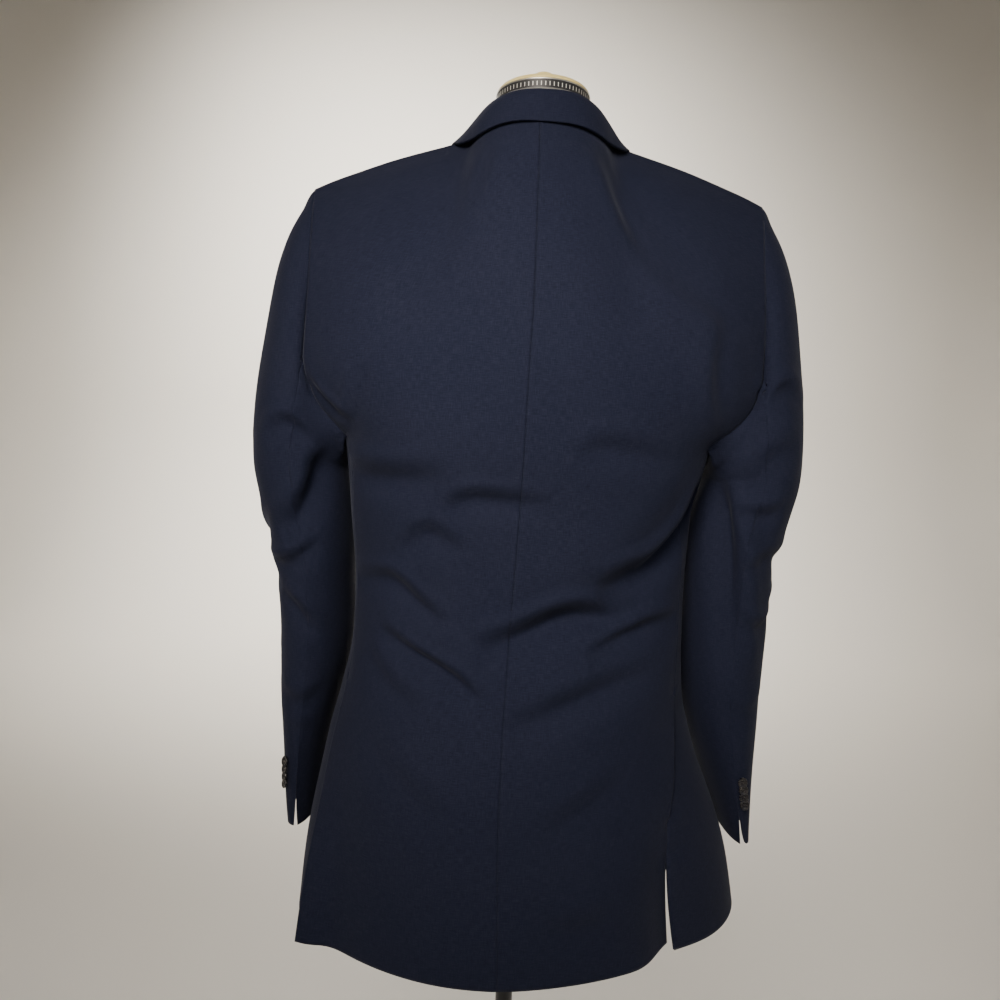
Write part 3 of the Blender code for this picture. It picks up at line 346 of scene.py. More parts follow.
def draw_together():
    for _ in range(SEAM_PASSES):
        trees = {name: rim_tree(piece) for name, piece in panels.items()}
        new_places = {}
        for name, piece in panels.items():
            points = points_of(piece)
            share = rim_share(piece)
            rim_ids = np.where(share > ON_RIM)[0]
            shift = np.zeros_like(points)
            for i in rim_ids:
                place = Vector(points[i])
                if stays_open(name, place):
                    continue
                found = [
                    tree.find_nearest(place, SEAM_FOUND)
                    for other, tree in trees.items() if other != name
                ]
                found = [hit for hit in found if hit[0] is not None]
                if not found:
                    continue
                nearest = min(found, key=lambda hit: hit[3])
                spare = max(nearest[3] - SEAM_LEFT, 0.0)
                if nearest[3] > 1e-6:
                    shift[i] = np.array(nearest[0] - place) / nearest[3] * spare / 2
            tree = point_tree(points[rim_ids], range(len(rim_ids)))
            beside = np.where((share > BESIDE_RIM) & (share <= ON_RIM))[0]
            for i in beside:
                k = tree.find(points[i])[1]
                part = share[i]
                shift[i] = shift[rim_ids[k]] * part * part * (3 - 2 * part)
            new_places[name] = points + shift
        for name, piece in panels.items():
            set_points(piece, new_places[name])


def mark_seams():
    """Keeps each point's distance to the nearest seam on the piece, as an attribute."""
    trees = {name: rim_tree(piece) for name, piece in panels.items()}
    for name, piece in panels.items():
        points = points_of(piece)
        sewn = []
        others = [tree for other, tree in trees.items() if other != name]
        for i in np.where(rim_share(piece) > ON_RIM)[0]:
            place = Vector(points[i])
            if not stays_open(name, place) and is_sewn(place, others):
                sewn.append(i)
        tree = point_tree([points[i] for i in sewn], sewn)
        away = np.full(len(points), SEAM_REACH)
        if sewn:
            for i, place in enumerate(points):
                away[i] = min(tree.find(place)[2], SEAM_REACH)
        piece.data.attributes.new("seam", "FLOAT", "POINT").data.foreach_set("value", away)
        print(name, "has", len(sewn), "sewn points")


draw_together()
mark_seams()

# %% [markdown]
# ## Threads that follow the body
#
# A weave must run round the chest and down the back, not straight through the jacket as a flat
# pattern would. So each panel gets its own pair of coordinates in metres: how far round the body or
# the arm a point is, and how high. They are kept as a UV map with the name threads.

# %% Lay the threads
BODY_RADII = np.array((0.200, 0.135))       # an oval like the chest, across and deep
ARM_RADII = np.array((0.038, 0.070))        # and one like a hanging sleeve


def around(points, centre, radii, start):
    """The length round an oval to each point, measured from a starting direction."""
    flat = (points[:, :2] - centre) / radii
    angle = np.arctan2(flat[:, 1], flat[:, 0]) - start
    angle = (angle + math.pi) % (2 * math.pi) - math.pi
    steps = np.linspace(-math.pi, math.pi, 721)
    speed = np.hypot(radii[0] * np.sin(steps + start), radii[1] * np.cos(steps + start))
    length = np.concatenate(([0.0], np.cumsum((speed[1:] + speed[:-1]) / 2 * np.diff(steps))))
    return np.interp(angle, steps, length)


def lay_threads(piece, across):
    """Stores the coordinates of each face corner."""
    data = piece.data
    layer = data.uv_layers.new(name="threads")
    corners = np.empty(len(data.loops), dtype=np.int64)
    data.loops.foreach_get("vertex_index", corners)
    points = points_of(piece)
    pair = np.stack((across, points[:, 2]), axis=1)[corners]
    layer.data.foreach_set("uv", pair.ravel())


# %% [markdown]
# ## The arms' middle lines
#
# Several steps need to know which way is out of a sleeve. The middle of the sleeve at each height
# is read from the model's two sleeve pieces.

# %% Find the middle of each sleeve
SLEEVE_ROWS = np.linspace(0.72, 1.10, 14)
ROW_REACH = 0.03            # how far above and below a row its points are taken
ARMHOLE_FOOT = 1.10         # the armholes lie above this height
ARMHOLE_REACH = 0.05        # over this distance the way out turns from the body's to the arm's


def sleeve_middle(side):
    corners = []
    for name in (f"top_sleeve_{side}", f"under_sleeve_{side}"):
        corners += [tuple(v.co) for v in nodes[name].data.vertices]
    corners = np.array(corners)
    line = []
    for height in SLEEVE_ROWS:
        near = corners[np.abs(corners[:, 2] - height) < ROW_REACH]
        line.append((near[:, :2].min(axis=0) + near[:, :2].max(axis=0)) / 2)
    print(side, "sleeve runs from x", round(line[-1][0], 3), "to", round(line[0][0], 3))
    return np.array(line)


ARM_LINES = {side: sleeve_middle(side) for side in ("left", "right")}


def middle_at(side, heights):
    line = ARM_LINES[side]
    return np.stack([np.interp(heights, SLEEVE_ROWS, line[:, axis]) for axis in (0, 1)], axis=1)


def armhole_tree():
    """The points of the armholes' edges, where the sleeves are sewn on."""
    edges = []
    for name in ("back_left", "back_right", "front_left", "front_right", "side_left", "side_right"):
        side = name.split("_")[1]
        trees = [rim_tree(panels[half + side]) for half in ("top_sleeve_", "under_sleeve_")]
        points = points_of(panels[name])
        for place in points[rim_share(panels[name]) > ON_RIM]:
            if place[2] > ARMHOLE_FOOT and is_sewn(Vector(place), trees):
                edges.append(place)
    print(len(edges), "points round the armholes")
    return point_tree(edges, range(len(edges)))


ARMHOLES = armhole_tree()


def level_away(points, centre, radii):
    away = (points[:, :2] - centre) / radii ** 2
    away = away / np.maximum(np.linalg.norm(away, axis=1), 1e-9)[:, None]
    return np.concatenate((away, np.zeros((len(away), 1))), axis=1)


def outwards(name, points):
    """The level direction out of the body, or out of the arm for a sleeve."""
    from_body = level_away(points, np.zeros(2), BODY_RADII)
    if "sleeve" not in name:
        return from_body
    from_arm = level_away(points, middle_at(name.split("_")[2], points[:, 2]), ARM_RADII)
    far = np.array([ARMHOLES.find(place)[2] for place in points])
    share = np.clip(far / ARMHOLE_REACH, 0, 1)
    share = (share * share * (3 - 2 * share))[:, None]
    away = from_body * (1 - share) + from_arm * share
    return away / np.maximum(np.linalg.norm(away, axis=1), 1e-9)[:, None]


# %% [markdown]
# ## Creases
#
# Cloth that is held at the shoulders creases where it is pinched: at the small of the back, in the
# crook of each arm and under the armholes. Each crease is one line of a table: the side it is seen
# from, its half width and depth in metres, and the places it runs through. A place is x and height
# on the back and front, and y and height on the two sides. Above the line the cloth bulges to a
# lip, and below it lies a soft trough. Both fade out at the crease's ends. A negative depth makes a
# ridge.
# The hidden sides have creases of the same kind, so that the jacket looks right all round.

# %% List the creases
CREASES = (
    # seen from, half width, depth, places along it
    ("back", 0.0110, 0.0110, (0.047, 0.947), (0.006, 0.962), (-0.030, 0.979),
     (-0.056, 0.982), (-0.104, 0.974)),
    ("back", 0.0130, 0.0120, (-0.062, 1.004), (-0.094, 1.018), (-0.118, 1.027),
     (-0.148, 1.058), (-0.168, 1.104)),
    ("back", 0.0085, 0.0070, (-0.056, 0.945), (-0.086, 0.956), (-0.120, 0.968), (-0.152, 0.970)),
    ("back", 0.0120, 0.0046, (0.022, 0.878), (-0.017, 0.893), (-0.044, 0.904),
     (-0.086, 0.919), (-0.134, 0.928)),
    ("back", 0.0070, 0.0070, (0.138, 0.955), (0.096, 0.935), (0.064, 0.921), (0.034, 0.900)),
    ("back", 0.0085, 0.0052, (0.168, 0.995), (0.128, 1.004), (0.098, 0.984), (0.070, 0.966)),
    ("back", 0.0120, 0.0058, (0.180, 1.106), (0.150, 1.103), (0.119, 1.104), (0.074, 1.108)),
    ("back", 0.0085, 0.0046, (0.080, 1.074), (0.055, 1.086), (0.027, 1.086), (-0.020, 1.083)),
    ("back", 0.0095, 0.0032, (0.124, 1.026), (0.093, 1.053), (0.054, 1.034)),
    ("back", 0.0110, 0.0030, (-0.036, 1.125), (-0.060, 1.138), (-0.097, 1.134), (-0.140, 1.124)),
    ("back", 0.0120, -0.0042, (-0.168, 1.262), (-0.162, 1.215), (-0.166, 1.178), (-0.182, 1.146)),
    ("back", 0.0090, 0.0030, (0.160, 1.200), (0.169, 1.162), (0.184, 1.124)),
    ("back", 0.0060, 0.0042, (0.218, 1.190), (0.193, 1.164), (0.168, 1.148)),
    ("back", 0.0130, 0.0026, (-0.020, 0.792), (-0.055, 0.811), (-0.100, 0.836)),
    ("back", 0.0150, 0.0026, (-0.026, 0.708), (-0.058, 0.703), (-0.092, 0.707)),
    ("back", 0.0110, -0.0042, (-0.046, 1.406), (-0.058, 1.381), (-0.068, 1.354),
     (-0.083, 1.323), (-0.104, 1.286)),
    ("back", 0.0150, -0.0036, (-0.090, 1.300), (-0.120, 1.278), (-0.150, 1.262), (-0.196, 1.236)),
    ("back", 0.0090, -0.0018, (0.044, 1.405), (0.050, 1.375), (0.058, 1.345)),
    ("back", 0.0110, 0.0024, (0.094, 1.300), (0.120, 1.268), (0.146, 1.226)),
    ("back", 0.0100, 0.0026, (0.090, 0.892), (0.122, 0.906), (0.150, 0.932)),
    ("back", 0.0150, 0.0024, (0.060, 0.800), (0.098, 0.822), (0.140, 0.856)),
    ("back", 0.0080, 0.0056, (0.262, 1.130), (0.242, 1.146), (0.227, 1.145),
     (0.215, 1.134), (0.203, 1.123)),
    ("back", 0.0125, 0.0100, (0.196, 1.130), (0.210, 1.107), (0.215, 1.083),
     (0.227, 1.060), (0.249, 1.042)),
    ("back", 0.0080, 0.0056, (0.264, 1.004), (0.238, 1.008), (0.204, 1.030)),
    ("back", 0.0080, 0.0050, (0.242, 0.976), (0.222, 0.957), (0.202, 0.930)),
    ("back", 0.0100, 0.0034, (0.246, 0.868), (0.226, 0.860), (0.203, 0.874)),
    ("back", 0.0090, 0.0016, (0.246, 0.822), (0.230, 0.830), (0.214, 0.824)),
    ("back", 0.0090, 0.0042, (-0.266, 1.190), (-0.242, 1.198), (-0.220, 1.178)),
    ("back", 0.0120, 0.0046, (-0.260, 1.148), (-0.228, 1.130), (-0.213, 1.106), (-0.200, 1.092)),
    ("back", 0.0080, 0.0052, (-0.252, 1.080), (-0.226, 1.075), (-0.204, 1.078)),
    ("back", 0.0130, 0.0105, (-0.197, 1.104), (-0.200, 1.072), (-0.208, 1.020), (-0.226, 0.900)),
    ("back", 0.0080, 0.0030, (-0.268, 1.026), (-0.240, 1.032), (-0.212, 1.014)),
    ("back", 0.0080, 0.0038, (-0.264, 0.972), (-0.244, 0.959), (-0.220, 0.968)),
    ("back", 0.0100, 0.0018, (-0.258, 0.880), (-0.240, 0.868), (-0.216, 0.874)),
    ("left", 0.0090, 0.0034, (0.052, 1.058), (0.010, 1.030), (-0.040, 1.036)),
    ("left", 0.0080, 0.0026, (0.050, 0.985), (0.005, 0.996), (-0.052, 0.980)),
    ("left", 0.0110, 0.0022, (0.030, 1.118), (-0.016, 1.132), (-0.062, 1.112)),
    ("left", 0.0110, 0.0018, (0.020, 0.902), (-0.020, 0.894), (-0.060, 0.908)),
    ("right", 0.0090, 0.0032, (0.055, 1.044), (0.006, 1.022), (-0.046, 1.034)),
    ("right", 0.0080, 0.0026, (0.048, 0.978), (0.000, 0.990), (-0.050, 0.972)),
    ("right", 0.0120, 0.0022, (0.034, 1.176), (-0.010, 1.188), (-0.056, 1.164)),
    ("right", 0.0110, 0.0018, (0.018, 0.888), (-0.024, 0.880), (-0.062, 0.896)),
    ("front", 0.0080, 0.0030, (0.245, 1.060), (0.222, 1.034), (0.196, 1.050)),
    ("front", 0.0070, 0.0030, (0.240, 1.008), (0.218, 1.016), (0.192, 1.000)),
    ("front", 0.0080, 0.0030, (-0.246, 1.056), (-0.220, 1.030), (-0.192, 1.046)),
    ("front", 0.0070, 0.0028, (-0.240, 1.004), (-0.216, 1.012), (-0.190, 0.996)),
    ("front", 0.0100, 0.0026, (0.024, 1.030), (0.070, 1.040), (0.128, 1.062)),
    ("front", 0.0110, 0.0024, (0.026, 1.016), (0.078, 0.998), (0.134, 0.974)),
    ("front", 0.0100, 0.0026, (-0.030, 1.032), (-0.074, 1.046), (-0.126, 1.070)),
    ("front", 0.0110, 0.0024, (-0.028, 1.014), (-0.070, 0.994), (-0.122, 0.962)),
    ("front", 0.0120, 0.0026, (0.170, 1.150), (0.140, 1.118), (0.098, 1.096)),
    ("front", 0.0120, 0.0024, (-0.168, 1.146), (-0.136, 1.112), (-0.100, 1.094)),
)
VIEWS = {
    "back": (Vector((0, 1, 0)), lambda a, b: Vector((a, 1.0, b))),
    "front": (Vector((0, -1, 0)), lambda a, b: Vector((a, -1.0, b))),
    "left": (Vector((1, 0, 0)), lambda a, b: Vector((1.0, a, b))),
    "right": (Vector((-1, 0, 0)), lambda a, b: Vector((-1.0, a, b))),
}
print(len(CREASES), "creases")

# %% [markdown]
# A smooth line is drawn through a crease's places, and its points are cast onto the jacket from the
# crease's side. Every point of a panel then looks up its nearest place on that line. The distance
# gives the trough's shape, and the place along the line gives the fade.

# %% Press the creases into the cloth
LINE_STEPS = 8              # points of the smooth line from one place to the next
TROUGH_BELOW = 0.8          # the trough's middle, in half widths below the line
TROUGH_ABOVE, TROUGH_UNDER = 0.85, 1.45     # how far it spreads above and below its middle
LIP_ABOVE = 1.75            # the lip's middle, in half widths above the trough's
LIP_SPREAD = 0.85
LIP_SHARE = 0.55            # the lip's height, as a share of the depth
FADE_POWER = 0.75           # under 1 keeps the crease deep for most of its length
CREASE_REACH = 4            # half widths from the line that are looked at


def one_tree(pieces):
    """One surface to look up points on, from several pieces."""
    places, faces = [], []
    for piece in pieces:
        first = len(places)
        places += [v.co.copy() for v in piece.data.vertices]
        faces += [[first + i for i in face.vertices] for face in piece.data.polygons]
    return BVHTree.FromPolygons(places, faces)


SHELL = one_tree(panels.values())


def smooth_line(places):
    """Even steps along a soft curve through the places."""
    places = [np.array(place) for place in places]
    places = [2 * places[0] - places[1]] + places + [2 * places[-1] - places[-2]]
    line = [places[1]]
    for before, start, end, after in zip(places, places[1:], places[2:], places[3:]):
        for k in range(1, LINE_STEPS + 1):
            t = k / LINE_STEPS
            line.append(0.5 * (
                2 * start + (end - before) * t + (2 * before - 5 * start + 4 * end - after) * t * t
                + (3 * start - before - 3 * end + after) * t ** 3
            ))
    return line


def crease_line(view, places):
    from_side, place = VIEWS[view]
    hits = [SHELL.ray_cast(place(*flat), -from_side)[0] for flat in smooth_line(places)]
    return np.array([tuple(hit) for hit in hits if hit is not None])


def press(points, away, lines):
    """Moves points in along the troughs and out along their lips."""
    moved = np.zeros(len(points))
    for line, width, depth, upper in lines:
        low, high = line.min(axis=0) - CREASE_REACH * width, line.max(axis=0) + CREASE_REACH * width
        near = np.where(((points > low) & (points < high)).all(axis=1))[0]
        if not len(near):
            continue
        chosen, facing = points[near], away[near]
        best = np.full(len(near), np.inf)
        part = np.zeros(len(near))
        side = np.zeros(len(near))
        count = len(line) - 1
        for k in range(count):
            start, run = line[k], line[k + 1] - line[k]
            t = np.clip(((chosen - start) @ run) / max(run @ run, 1e-12), 0, 1)
            gap = chosen - start - t[:, None] * run
            distance = np.linalg.norm(gap, axis=1)
            closer = distance < best
            best = np.where(closer, distance, best)
            part = np.where(closer, (k + t) / count, part)
            side = np.where(closer, upper * (gap * np.cross(run, facing)).sum(axis=1), side)
        off = np.where(side < 0, -best, best) / width + TROUGH_BELOW
        fade = np.sin(np.pi * np.clip(part, 0, 1)) ** FADE_POWER
        trough = np.exp(-(off / np.where(off > 0, TROUGH_ABOVE, TROUGH_UNDER)) ** 2)
        trough -= LIP_SHARE * np.exp(-((off - LIP_ABOVE) / LIP_SPREAD) ** 2)
        moved[near] -= depth * fade * trough
    return points + away * moved[:, None]


def traced(view, width, depth, *places):
    """A crease's line, its half width, its depth, and which of its sides is the upper one."""
    line = crease_line(view, places)
    upper = 1.0 if np.cross(line[-1] - line[0], VIEWS[view][0])[2] >= 0 else -1.0
    return line, width, depth, upper


crease_lines = [traced(*row) for row in CREASES]
lengths = [np.linalg.norm(np.diff(row[0], axis=0), axis=1).sum() for row in crease_lines]
print("longest crease", round(max(lengths), 3), "m")

# %% [markdown]
# ## The ten panels of body and sleeves
#
# The panels are made fine, given their threads and creased. The same table is pressed into every
# panel, so a crease that crosses a seam goes on in the next piece. A slow unevenness of about a
# millimetre keeps the flat parts from looking like sheet metal.

# %% Make the panels
CLOTH = []
UNEVENNESS = 0.0007
CALM_FROM, CALM_OVER = 1.36, 0.08   # the unevenness ends at this height, and fades below it
SHARP_CLOTH = math.radians(50)


def uneven(points):
    """A slow, shallow wave that is the same for neighbouring panels, and stops at the shoulders."""
    x, y, z = points.T
    wave = np.sin(x * 31 + z * 17 + 1.3) * np.sin(z * 23 - x * 11)
    wave = wave + 0.6 * np.sin(z * 41 + y * 29 + x * 13)
    return UNEVENNESS * wave * np.clip((CALM_FROM - z) / CALM_OVER, 0, 1)


def finish_cloth(piece, name):
    piece.data.materials.clear()
    piece.data.materials.append(NAVY_SUITING)
    piece.data.shade_smooth()
    piece.data.set_sharp_from_angle(angle=SHARP_CLOTH)
    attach(piece, "root")
    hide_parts(name)
    CLOTH.append(piece)


def settled(name, points):
    """Where points of a piece go once it has its unevenness and the creases."""
    away = outwards(name, points)
    return press(points + away * uneven(points)[:, None], away, crease_lines)


def settle(piece, name):
    set_points(piece, settled(name, points_of(piece)))


def make_panel(name):
    piece = panels[name]
    points = points_of(piece)
    side = name.split("_")[-1]
    side_start = 0.0 if side == "left" else math.pi
    if "sleeve" in name:
        start = side_start
        if "under" in name:
            start += math.pi
        flat = points.copy()
        flat[:, :2] -= middle_at(side, points[:, 2])
        across = around(flat, np.zeros(2), ARM_RADII, start)
    else:
        starts = {"back": math.pi / 2, "front": -math.pi / 2, "side": side_start}
        start = starts[name.split("_")[0]]
        across = around(points, np.zeros(2), BODY_RADII, start)
    lay_threads(piece, across)
    settle(piece, name)
    finish_cloth(piece, name)


for panel in LEVELS:
    make_panel(panel)

# %% [markdown]
# ## Collar and lapels
#
# The collar is one strip, folded over round the neck. The lapels are the fronts turned back, and
# they lie loosely on the chest. No seam is closed on them. They get the same unevenness and creases
# as the panels under them, so that they follow those.

# %% Make the collar and lapels
def make_laid(name, levels, radius):
    piece = fine_panel(name, levels)
    points = points_of(piece)
    start = math.pi / 2 if name == "collar" else -math.pi / 2
    lay_threads(piece, around(points, np.zeros(2), np.array((radius, radius)), start))
    far_from_seams = np.full(len(points), SEAM_REACH)
    piece.data.attributes.new("seam", "FLOAT", "POINT").data.foreach_set("value", far_from_seams)
    settle(piece, name)
    finish_cloth(piece, name)


make_laid("collar", 3, 0.085)
make_laid("lapel_left", 2, 0.14)
make_laid("lapel_right", 2, 0.14)
print(len(CLOTH), "cloth pieces")

# %% [markdown]
# ## Buttons
#
# The buttons are dark, dished discs with a rounded rim and four holes, sewn on with two stitches of
# thread. One blank is turned from a profile and drilled. It is then copied to each button of the
# model, facing the way that one faces, and moved as the cloth under it moved.

# %% Turn and drill a button
def spun(profile, steps):
    """A closed shape turned round the Z axis from a profile."""
    mesh = bmesh.new()
    line = [mesh.verts.new((radius, 0, height)) for radius, height in profile]
    edges = [mesh.edges.new(pair) for pair in zip(line, line[1:])]
    bmesh.ops.spin(
        mesh, geom=line + edges, cent=(0, 0, 0), axis=(0, 0, 1), angle=2 * math.pi, steps=steps,
        use_merge=True, use_duplicate=False,
    )
    bmesh.ops.remove_doubles(mesh, verts=mesh.verts[:], dist=0.000001)
    bmesh.ops.recalc_face_normals(mesh, faces=mesh.faces[:])
    return mesh


def button_blank(diameter, thick):
    """A four-hole button at the origin, its face up, with its thread as the second material."""
    r = diameter / 2
    hole_spot = r * 0.20
    body = spun((
        (0, -thick / 2), (r * 0.78, -thick / 2), (r * 0.93, -thick * 0.40),
        (r * 0.995, -thick * 0.10), (r, thick * 0.10), (r * 0.97, thick * 0.36),
        (r * 0.90, thick * 0.50), (r * 0.80, thick * 0.46), (r * 0.66, thick * 0.22),
        (r * 0.50, thick * 0.12), (0, thick * 0.10),
    ), 36)
    drilled = bpy.data.meshes.new("button_blank")
    body.to_mesh(drilled)
    body.free()
    blank = bpy.data.objects.new("button_blank", drilled)
    drills = bmesh.new()
    for x, y in ((-1, -1), (-1, 1), (1, -1), (1, 1)):
        bmesh.ops.create_cone(
            drills, cap_ends=True, segments=12, radius1=r * 0.115, radius2=r * 0.115,
            depth=thick * 3, matrix=Matrix.Translation((x * hole_spot, y * hole_spot, 0)),
        )
    drill_mesh = bpy.data.meshes.new("drills")
    drills.to_mesh(drill_mesh)
    drills.free()
    drill = bpy.data.objects.new("drills", drill_mesh)
    for made in (blank, drill):
        bpy.context.scene.collection.objects.link(made)
    holes = blank.modifiers.new("holes", "BOOLEAN")
    holes.operation = "DIFFERENCE"
    holes.object = drill
    graph = bpy.context.evaluated_depsgraph_get()
    result = bpy.data.meshes.new_from_object(blank.evaluated_get(graph))
    bpy.data.objects.remove(blank)
    bpy.data.objects.remove(drill)
    mesh = bmesh.new()
    mesh.from_mesh(result)
    lying = Matrix.Rotation(math.pi / 2, 4, "Y")
    for y in (-1, 1):
        bar = bmesh.ops.create_cone(
            mesh, cap_ends=True, segments=8, radius1=r * 0.055, radius2=r * 0.055, depth=r * 0.42,
            matrix=Matrix.Translation((0, y * hole_spot, thick * 0.16)) @ lying,
        )
        for face in {face for vert in bar["verts"] for face in vert.link_faces}:
            face.material_index = 1
    mesh.to_mesh(result)
    mesh.free()
    print("button of", round(diameter * 1000, 1), "mm:", len(result.polygons), "faces")
    return result


# %% [markdown]
# The plastic is almost black and polished, with faint cloudy streaks like horn. The thread is matt.

# %% Mix the button's finishes
def horn():
    plastic = Finish("dark_horn", Roughness=0.24, Specular_IOR_Level=0.5)
    streak = plastic.noise(plastic.place((260, 260, 900)), 1.0, 3.0, 0.6)
    colour = plastic.mix(
        streak.between(0.35, 0.75), (0.006, 0.006, 0.009, 1), (0.034, 0.030, 0.030, 1),
    )
    plastic.set("Base Color", colour)
    plastic.set("Roughness", 0.20 + streak * 0.14)
    return plastic.material


def sewing_thread():
    thread = Finish("sewing_thread", Roughness=0.8)
    fibre = thread.noise(thread.place((3000, 3000, 3000)), 1.0, 2.0)
    thread.set("Base Color", thread.mix(fibre, (0.004, 0.005, 0.010, 1), (0.016, 0.019, 0.032, 1)))
    return thread.material


BUTTON_FINISHES = (horn(), sewing_thread())


def sew_button(name, blank, cloth):
    """Puts a copy of the blank in the place of a button of the model."""
    places = np.array([tuple(v.co) for v in nodes[name].data.vertices])
    centre = places.mean(axis=0)
    facing = np.linalg.svd(places - centre)[2][2]
    away = outwards(cloth, centre[None])[0]
    facing = facing * (1 if facing @ away > 0 else -1)
    centre = settled(cloth, centre[None])[0]
    turn = Vector(facing).to_track_quat("Z", "Y").to_matrix().to_4x4()
    mesh = blank.copy()
    mesh.name = "button_" + name
    mesh.transform(Matrix.Translation(centre) @ turn)
    mesh.materials.clear()
    for finish in BUTTON_FINISHES:
        mesh.materials.append(finish)
    mesh.shade_smooth()
    mesh.set_sharp_from_angle(angle=math.radians(40))
    piece = bpy.data.objects.new("turned_" + name, mesh)
    bpy.context.scene.collection.objects.link(piece)
    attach(piece, "root")
    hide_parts(name)


# %% Sew the buttons on
front_blank = button_blank(0.0200, 0.0035)
cuff_blank = button_blank(0.0105, 0.0020)
for number in (1, 2):
    sew_button(f"front_button_{number}", front_blank, "front_left")
for half in ("left", "right"):
    for number in (1, 2, 3, 4):
        sew_button(f"cuff_button_{half}_{number}", cuff_blank, "top_sleeve_" + half)

# %% [markdown]
# ## The form's neck
#
# Above the collar the dress form ends in a silver ring with a black band, a cream cap that is domed
# a little, and a flat knob. Each is turned from a profile at the model's height, with rounder edges
# than the model has. The band carries plain white ticks, spaced evenly all round.

# %% Turn the neck's pieces
TICKS = 72


def foot_of(node):
    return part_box(node)[0][2]


def turned_piece(name, node, finish, profile, steps):
    foot = foot_of(node)
    mesh = spun([(radius, foot + height) for radius, height in profile], steps)
    data = bpy.data.meshes.new(name)
    mesh.to_mesh(data)
    mesh.free()
    data.shade_smooth()
    data.set_sharp_from_angle(angle=math.radians(32))
    data.materials.append(finish)
    piece = bpy.data.objects.new(name, data)
    bpy.context.scene.collection.objects.link(piece)
    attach(piece, "root")
    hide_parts(node)
    print(name, "with", len(data.polygons), "faces")


def silver_and_band(foot):
    """Brushed silver below, and above it a black band with white ticks."""
    ring = Finish("silver_ring", Roughness=0.32)
    x, y, z = ring.axes()
    height = z - foot
    band = height.between(0.0040, 0.0044) * (1 - height.between(0.0116, 0.0120))
    turn = x.math("ARCTAN2", y, x) * (TICKS / (2 * math.pi))
    step = ring.node("ShaderNodeMath", {"operation": "FRACT"}, {0: turn})
    tick = (1 - step.between(0.16, 0.22)) * height.between(0.0058, 0.0062)
    tick = tick * (1 - height.between(0.0096, 0.0100))
    brushed = ring.noise(ring.place((60, 60, 2600)), 1.0, 2.0)
    silver = ring.mix(brushed, (0.46, 0.45, 0.42, 1), (0.66, 0.65, 0.61, 1))
    marked = ring.mix(tick, (0.012, 0.012, 0.013, 1), (0.72, 0.71, 0.66, 1))
    ring.set("Base Color", ring.mix(band, silver, marked))
    ring.set("Metallic", (1 - band) * 0.85)
    ring.set("Roughness", 0.30 + brushed * 0.14 + band * 0.10)
    return ring.material


def cream_plastic():
    cream = Finish("cream_plastic", Roughness=0.42)
    cloud = cream.noise(cream.place(), 45.0, 4.0, 0.6)
    fleck = cream.noise(cream.place(), 900.0, 2.0)
    colour = cream.mix(cloud.between(0.3, 0.75), (0.80, 0.64, 0.24, 1), (0.88, 0.78, 0.42, 1))
    cream.set("Base Color", colour)
    cream.set("Roughness", 0.36 + cloud * 0.16)
    cream.bump(fleck, 0.0002, 0.4)
    return cream.material


CREAM = cream_plastic()
turned_piece("turned_ring", "neck_ring", silver_and_band(foot_of("neck_ring")), (
    (0, 0), (0.0462, 0), (0.0474, 0.0005), (0.0480, 0.0016), (0.0480, 0.0028), (0.0475, 0.0038),
    (0.0469, 0.0042), (0.0469, 0.0118), (0.0474, 0.0121), (0.0474, 0.0127), (0.0468, 0.0130),
    (0, 0.0130),
), 144)
turned_piece("turned_cap", "neck_cap", CREAM, (
    (0, 0), (0.0455, 0), (0.0463, 0.0004), (0.0465, 0.0012), (0.0462, 0.0021), (0.0452, 0.0034),
    (0.0435, 0.0046), (0.0400, 0.0062), (0.0340, 0.0087), (0.0270, 0.0107), (0.0180, 0.0125),
    (0.0120, 0.0131), (0.0112, 0.0126), (0, 0.0126),
), 96)
turned_piece("turned_knob", "neck_knob", CREAM, (
    (0, 0), (0.0096, 0), (0.0104, 0.0005), (0.0109, 0.0016), (0.0110, 0.0050), (0.0106, 0.0066),
    (0.0095, 0.0076), (0.0075, 0.0080), (0, 0.0080),
), 64)

# %% [markdown]
# ## The torso
#
# The form's torso shows only inside the jacket's front opening and from below. It is a firm shell
# under a thin grey knitted cover, so the model's solid is rounded and given a fine knit.

# %% Cover the torso
def knitted_cover():
    cover = Finish("knitted_cover", Roughness=0.85, Sheen_Weight=0.08)
    loops = cover.node("ShaderNodeTexVoronoi", sockets={
        "Vector": cover.place((700, 700, 950)), "Scale": 1.0,
    })
    cloud = cover.noise(cover.place(), 14.0, 3.0)
    colour = cover.mix(cloud, (0.105, 0.105, 0.112, 1), (0.155, 0.153, 0.158, 1))
    between_loops = loops.between(0.3, 0.8) * 0.5
    cover.set("Base Color", cover.mix(between_loops, colour, (0.070, 0.070, 0.076, 1)))
    cover.set("Roughness", 0.78 + loops * 0.15)
    cover.bump(loops, -0.0004, 0.6)
    return cover.material


def cover_torso():
    piece = fine_panel("form_torso", 2)
    piece.name = "covered_torso"
    piece.data.materials.clear()
    piece.data.materials.append(knitted_cover())
    piece.data.shade_smooth()
    piece.data.set_sharp_from_angle(angle=SHARP_CLOTH)
    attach(piece, "root")
    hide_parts("form_torso")


cover_torso()

# %% [markdown]
# ## Pole, socket and base
#
# The stand is black painted steel. The paint is slightly uneven, and it is rubbed a little on the
# base's rim, where shoes touch it.

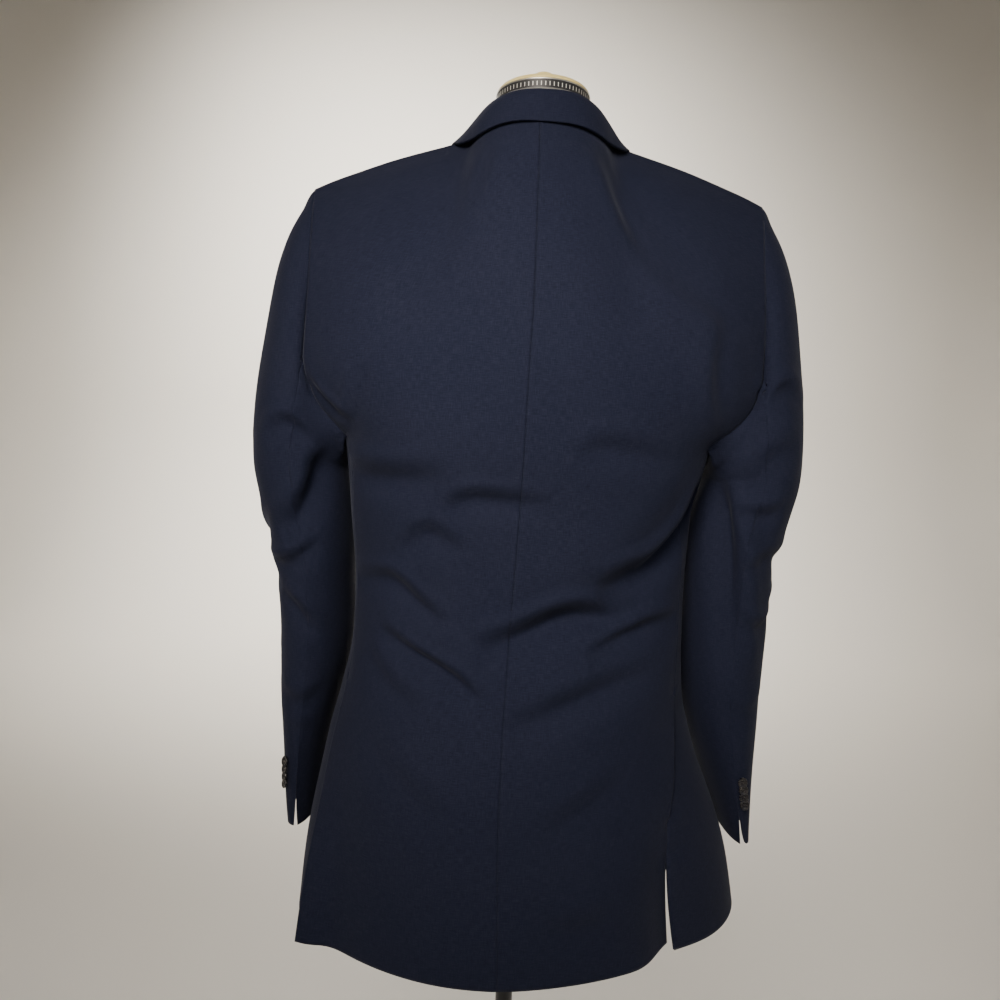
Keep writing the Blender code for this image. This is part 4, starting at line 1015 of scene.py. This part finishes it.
# %% Turn the stand
def black_paint():
    paint = Finish("black_paint", Roughness=0.40)
    height = paint.axes()[2]
    peel = paint.noise(paint.place(), 420.0, 2.0)
    cloud = paint.noise(paint.place(), 26.0, 4.0)
    scuff = paint.noise(paint.place((1, 1, 0.3)), 160.0, 5.0, 0.7).between(0.60, 0.66)
    near_floor = (1 - height.between(0.004, 0.016)) * scuff
    colour = paint.mix(cloud, (0.010, 0.010, 0.011, 1), (0.020, 0.020, 0.021, 1))
    paint.set("Base Color", paint.mix(near_floor, colour, (0.16, 0.155, 0.15, 1)))
    paint.set("Roughness", 0.30 + cloud * 0.16 + near_floor * 0.2)
    paint.bump(peel, 0.0002, 0.35)
    return paint.material


PAINT = black_paint()
turned_piece("turned_base", "base", PAINT, (
    (0, 0), (0.1800, 0), (0.1835, 0.0006), (0.1850, 0.0022), (0.1850, 0.0056), (0.1836, 0.0082),
    (0.1795, 0.0108), (0.1600, 0.0114), (0.0380, 0.0156), (0.0330, 0.0172), (0.0285, 0.0200),
    (0, 0.0200),
), 160)
turned_piece("turned_socket", "pole_socket", PAINT, (
    (0, 0), (0.0240, 0), (0.0240, 0.0395), (0.0232, 0.0418), (0.0215, 0.0433), (0.0190, 0.0437),
    (0, 0.0437),
), 96)
pole_low, pole_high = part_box("pole")
pole_long = pole_high[2] - pole_low[2]
turned_piece("turned_pole", "pole", PAINT, (
    (0, 0), (0.0095, 0), (0.0095, pole_long), (0, pole_long),
), 64)

# %% [markdown]
# ## The floor, the backdrop and the light
#
# A pale floor that curves up into walls on every side gives a plain studio. A small soft light with
# a narrow beam stands behind and above the camera, so that the back is bright and the skirt darker.
# A larger, cooler one further off fills in from the right. Two more light the wall and the
# jacket's front.

# %% Build the studio
FLOOR_REACH = 4.0
WALL_HEIGHT = 5.0
CURVE = 1.2


def studio_sweep():
    mesh = bmesh.new()
    bmesh.ops.create_grid(mesh, x_segments=1, y_segments=1, size=FLOOR_REACH)
    raised = bmesh.ops.extrude_edge_only(mesh, edges=mesh.edges[:])
    top = [part for part in raised["geom"] if isinstance(part, bmesh.types.BMVert)]
    bmesh.ops.translate(mesh, vec=(0, 0, WALL_HEIGHT), verts=top)
    bend = [edge for edge in mesh.edges if any(v.co.z < 0.1 for v in edge.verts)]
    bmesh.ops.bevel(
        mesh, geom=bend, offset=CURVE, segments=16, profile=0.5, affect="EDGES", material=-1,
    )
    bmesh.ops.recalc_face_normals(mesh, faces=mesh.faces[:])
    data = bpy.data.meshes.new("studio")
    mesh.to_mesh(data)
    mesh.free()
    data.shade_smooth()
    made = bpy.data.objects.new("studio", data)
    bpy.context.scene.collection.objects.link(made)
    paper = Finish("studio_paper", Roughness=0.9)
    paper.set("Base Color", (0.80, 0.77, 0.72, 1.0))
    data.materials.append(paper.material)


def soft_light(name, place, aim, size, power, colour, spread=180):
    lamp = bpy.data.lights.new(name, "AREA")
    lamp.shape = "SQUARE"
    lamp.size = size
    lamp.energy = power
    lamp.color = colour
    lamp.spread = math.radians(spread)
    made = bpy.data.objects.new(name, lamp)
    made.location = place
    made.rotation_euler = (Vector(aim) - Vector(place)).to_track_quat("-Z", "Y").to_euler()
    bpy.context.scene.collection.objects.link(made)
    print("light:", name, power, "W")


studio_sweep()
soft_light("key", (0.25, 1.00, 1.62), (0, 0.10, 1.16), 0.5, 4.2, (1.0, 0.91, 0.82), spread=76)
soft_light("fill", (-2.2, 1.6, 2.2), (0, 0, 1.2), 2.0, 6.0, (0.74, 0.85, 1.0))
soft_light("front", (0.5, -3.0, 2.6), (0, 0, 1.1), 2.5, 26.0, (1.0, 0.97, 0.93), spread=80)
soft_light("wall", (0.9, -1.6, 3.2), (0.3, -3.9, 1.2), 2.5, 150.0, (1.0, 0.95, 0.87), spread=100)
world = bpy.data.worlds.new("soft_room")
world.use_nodes = True
background = world.node_tree.nodes["Background"]
background.inputs["Color"].default_value = (0.74, 0.83, 1.0, 1.0)
background.inputs["Strength"].default_value = 0.03
bpy.context.scene.world = world
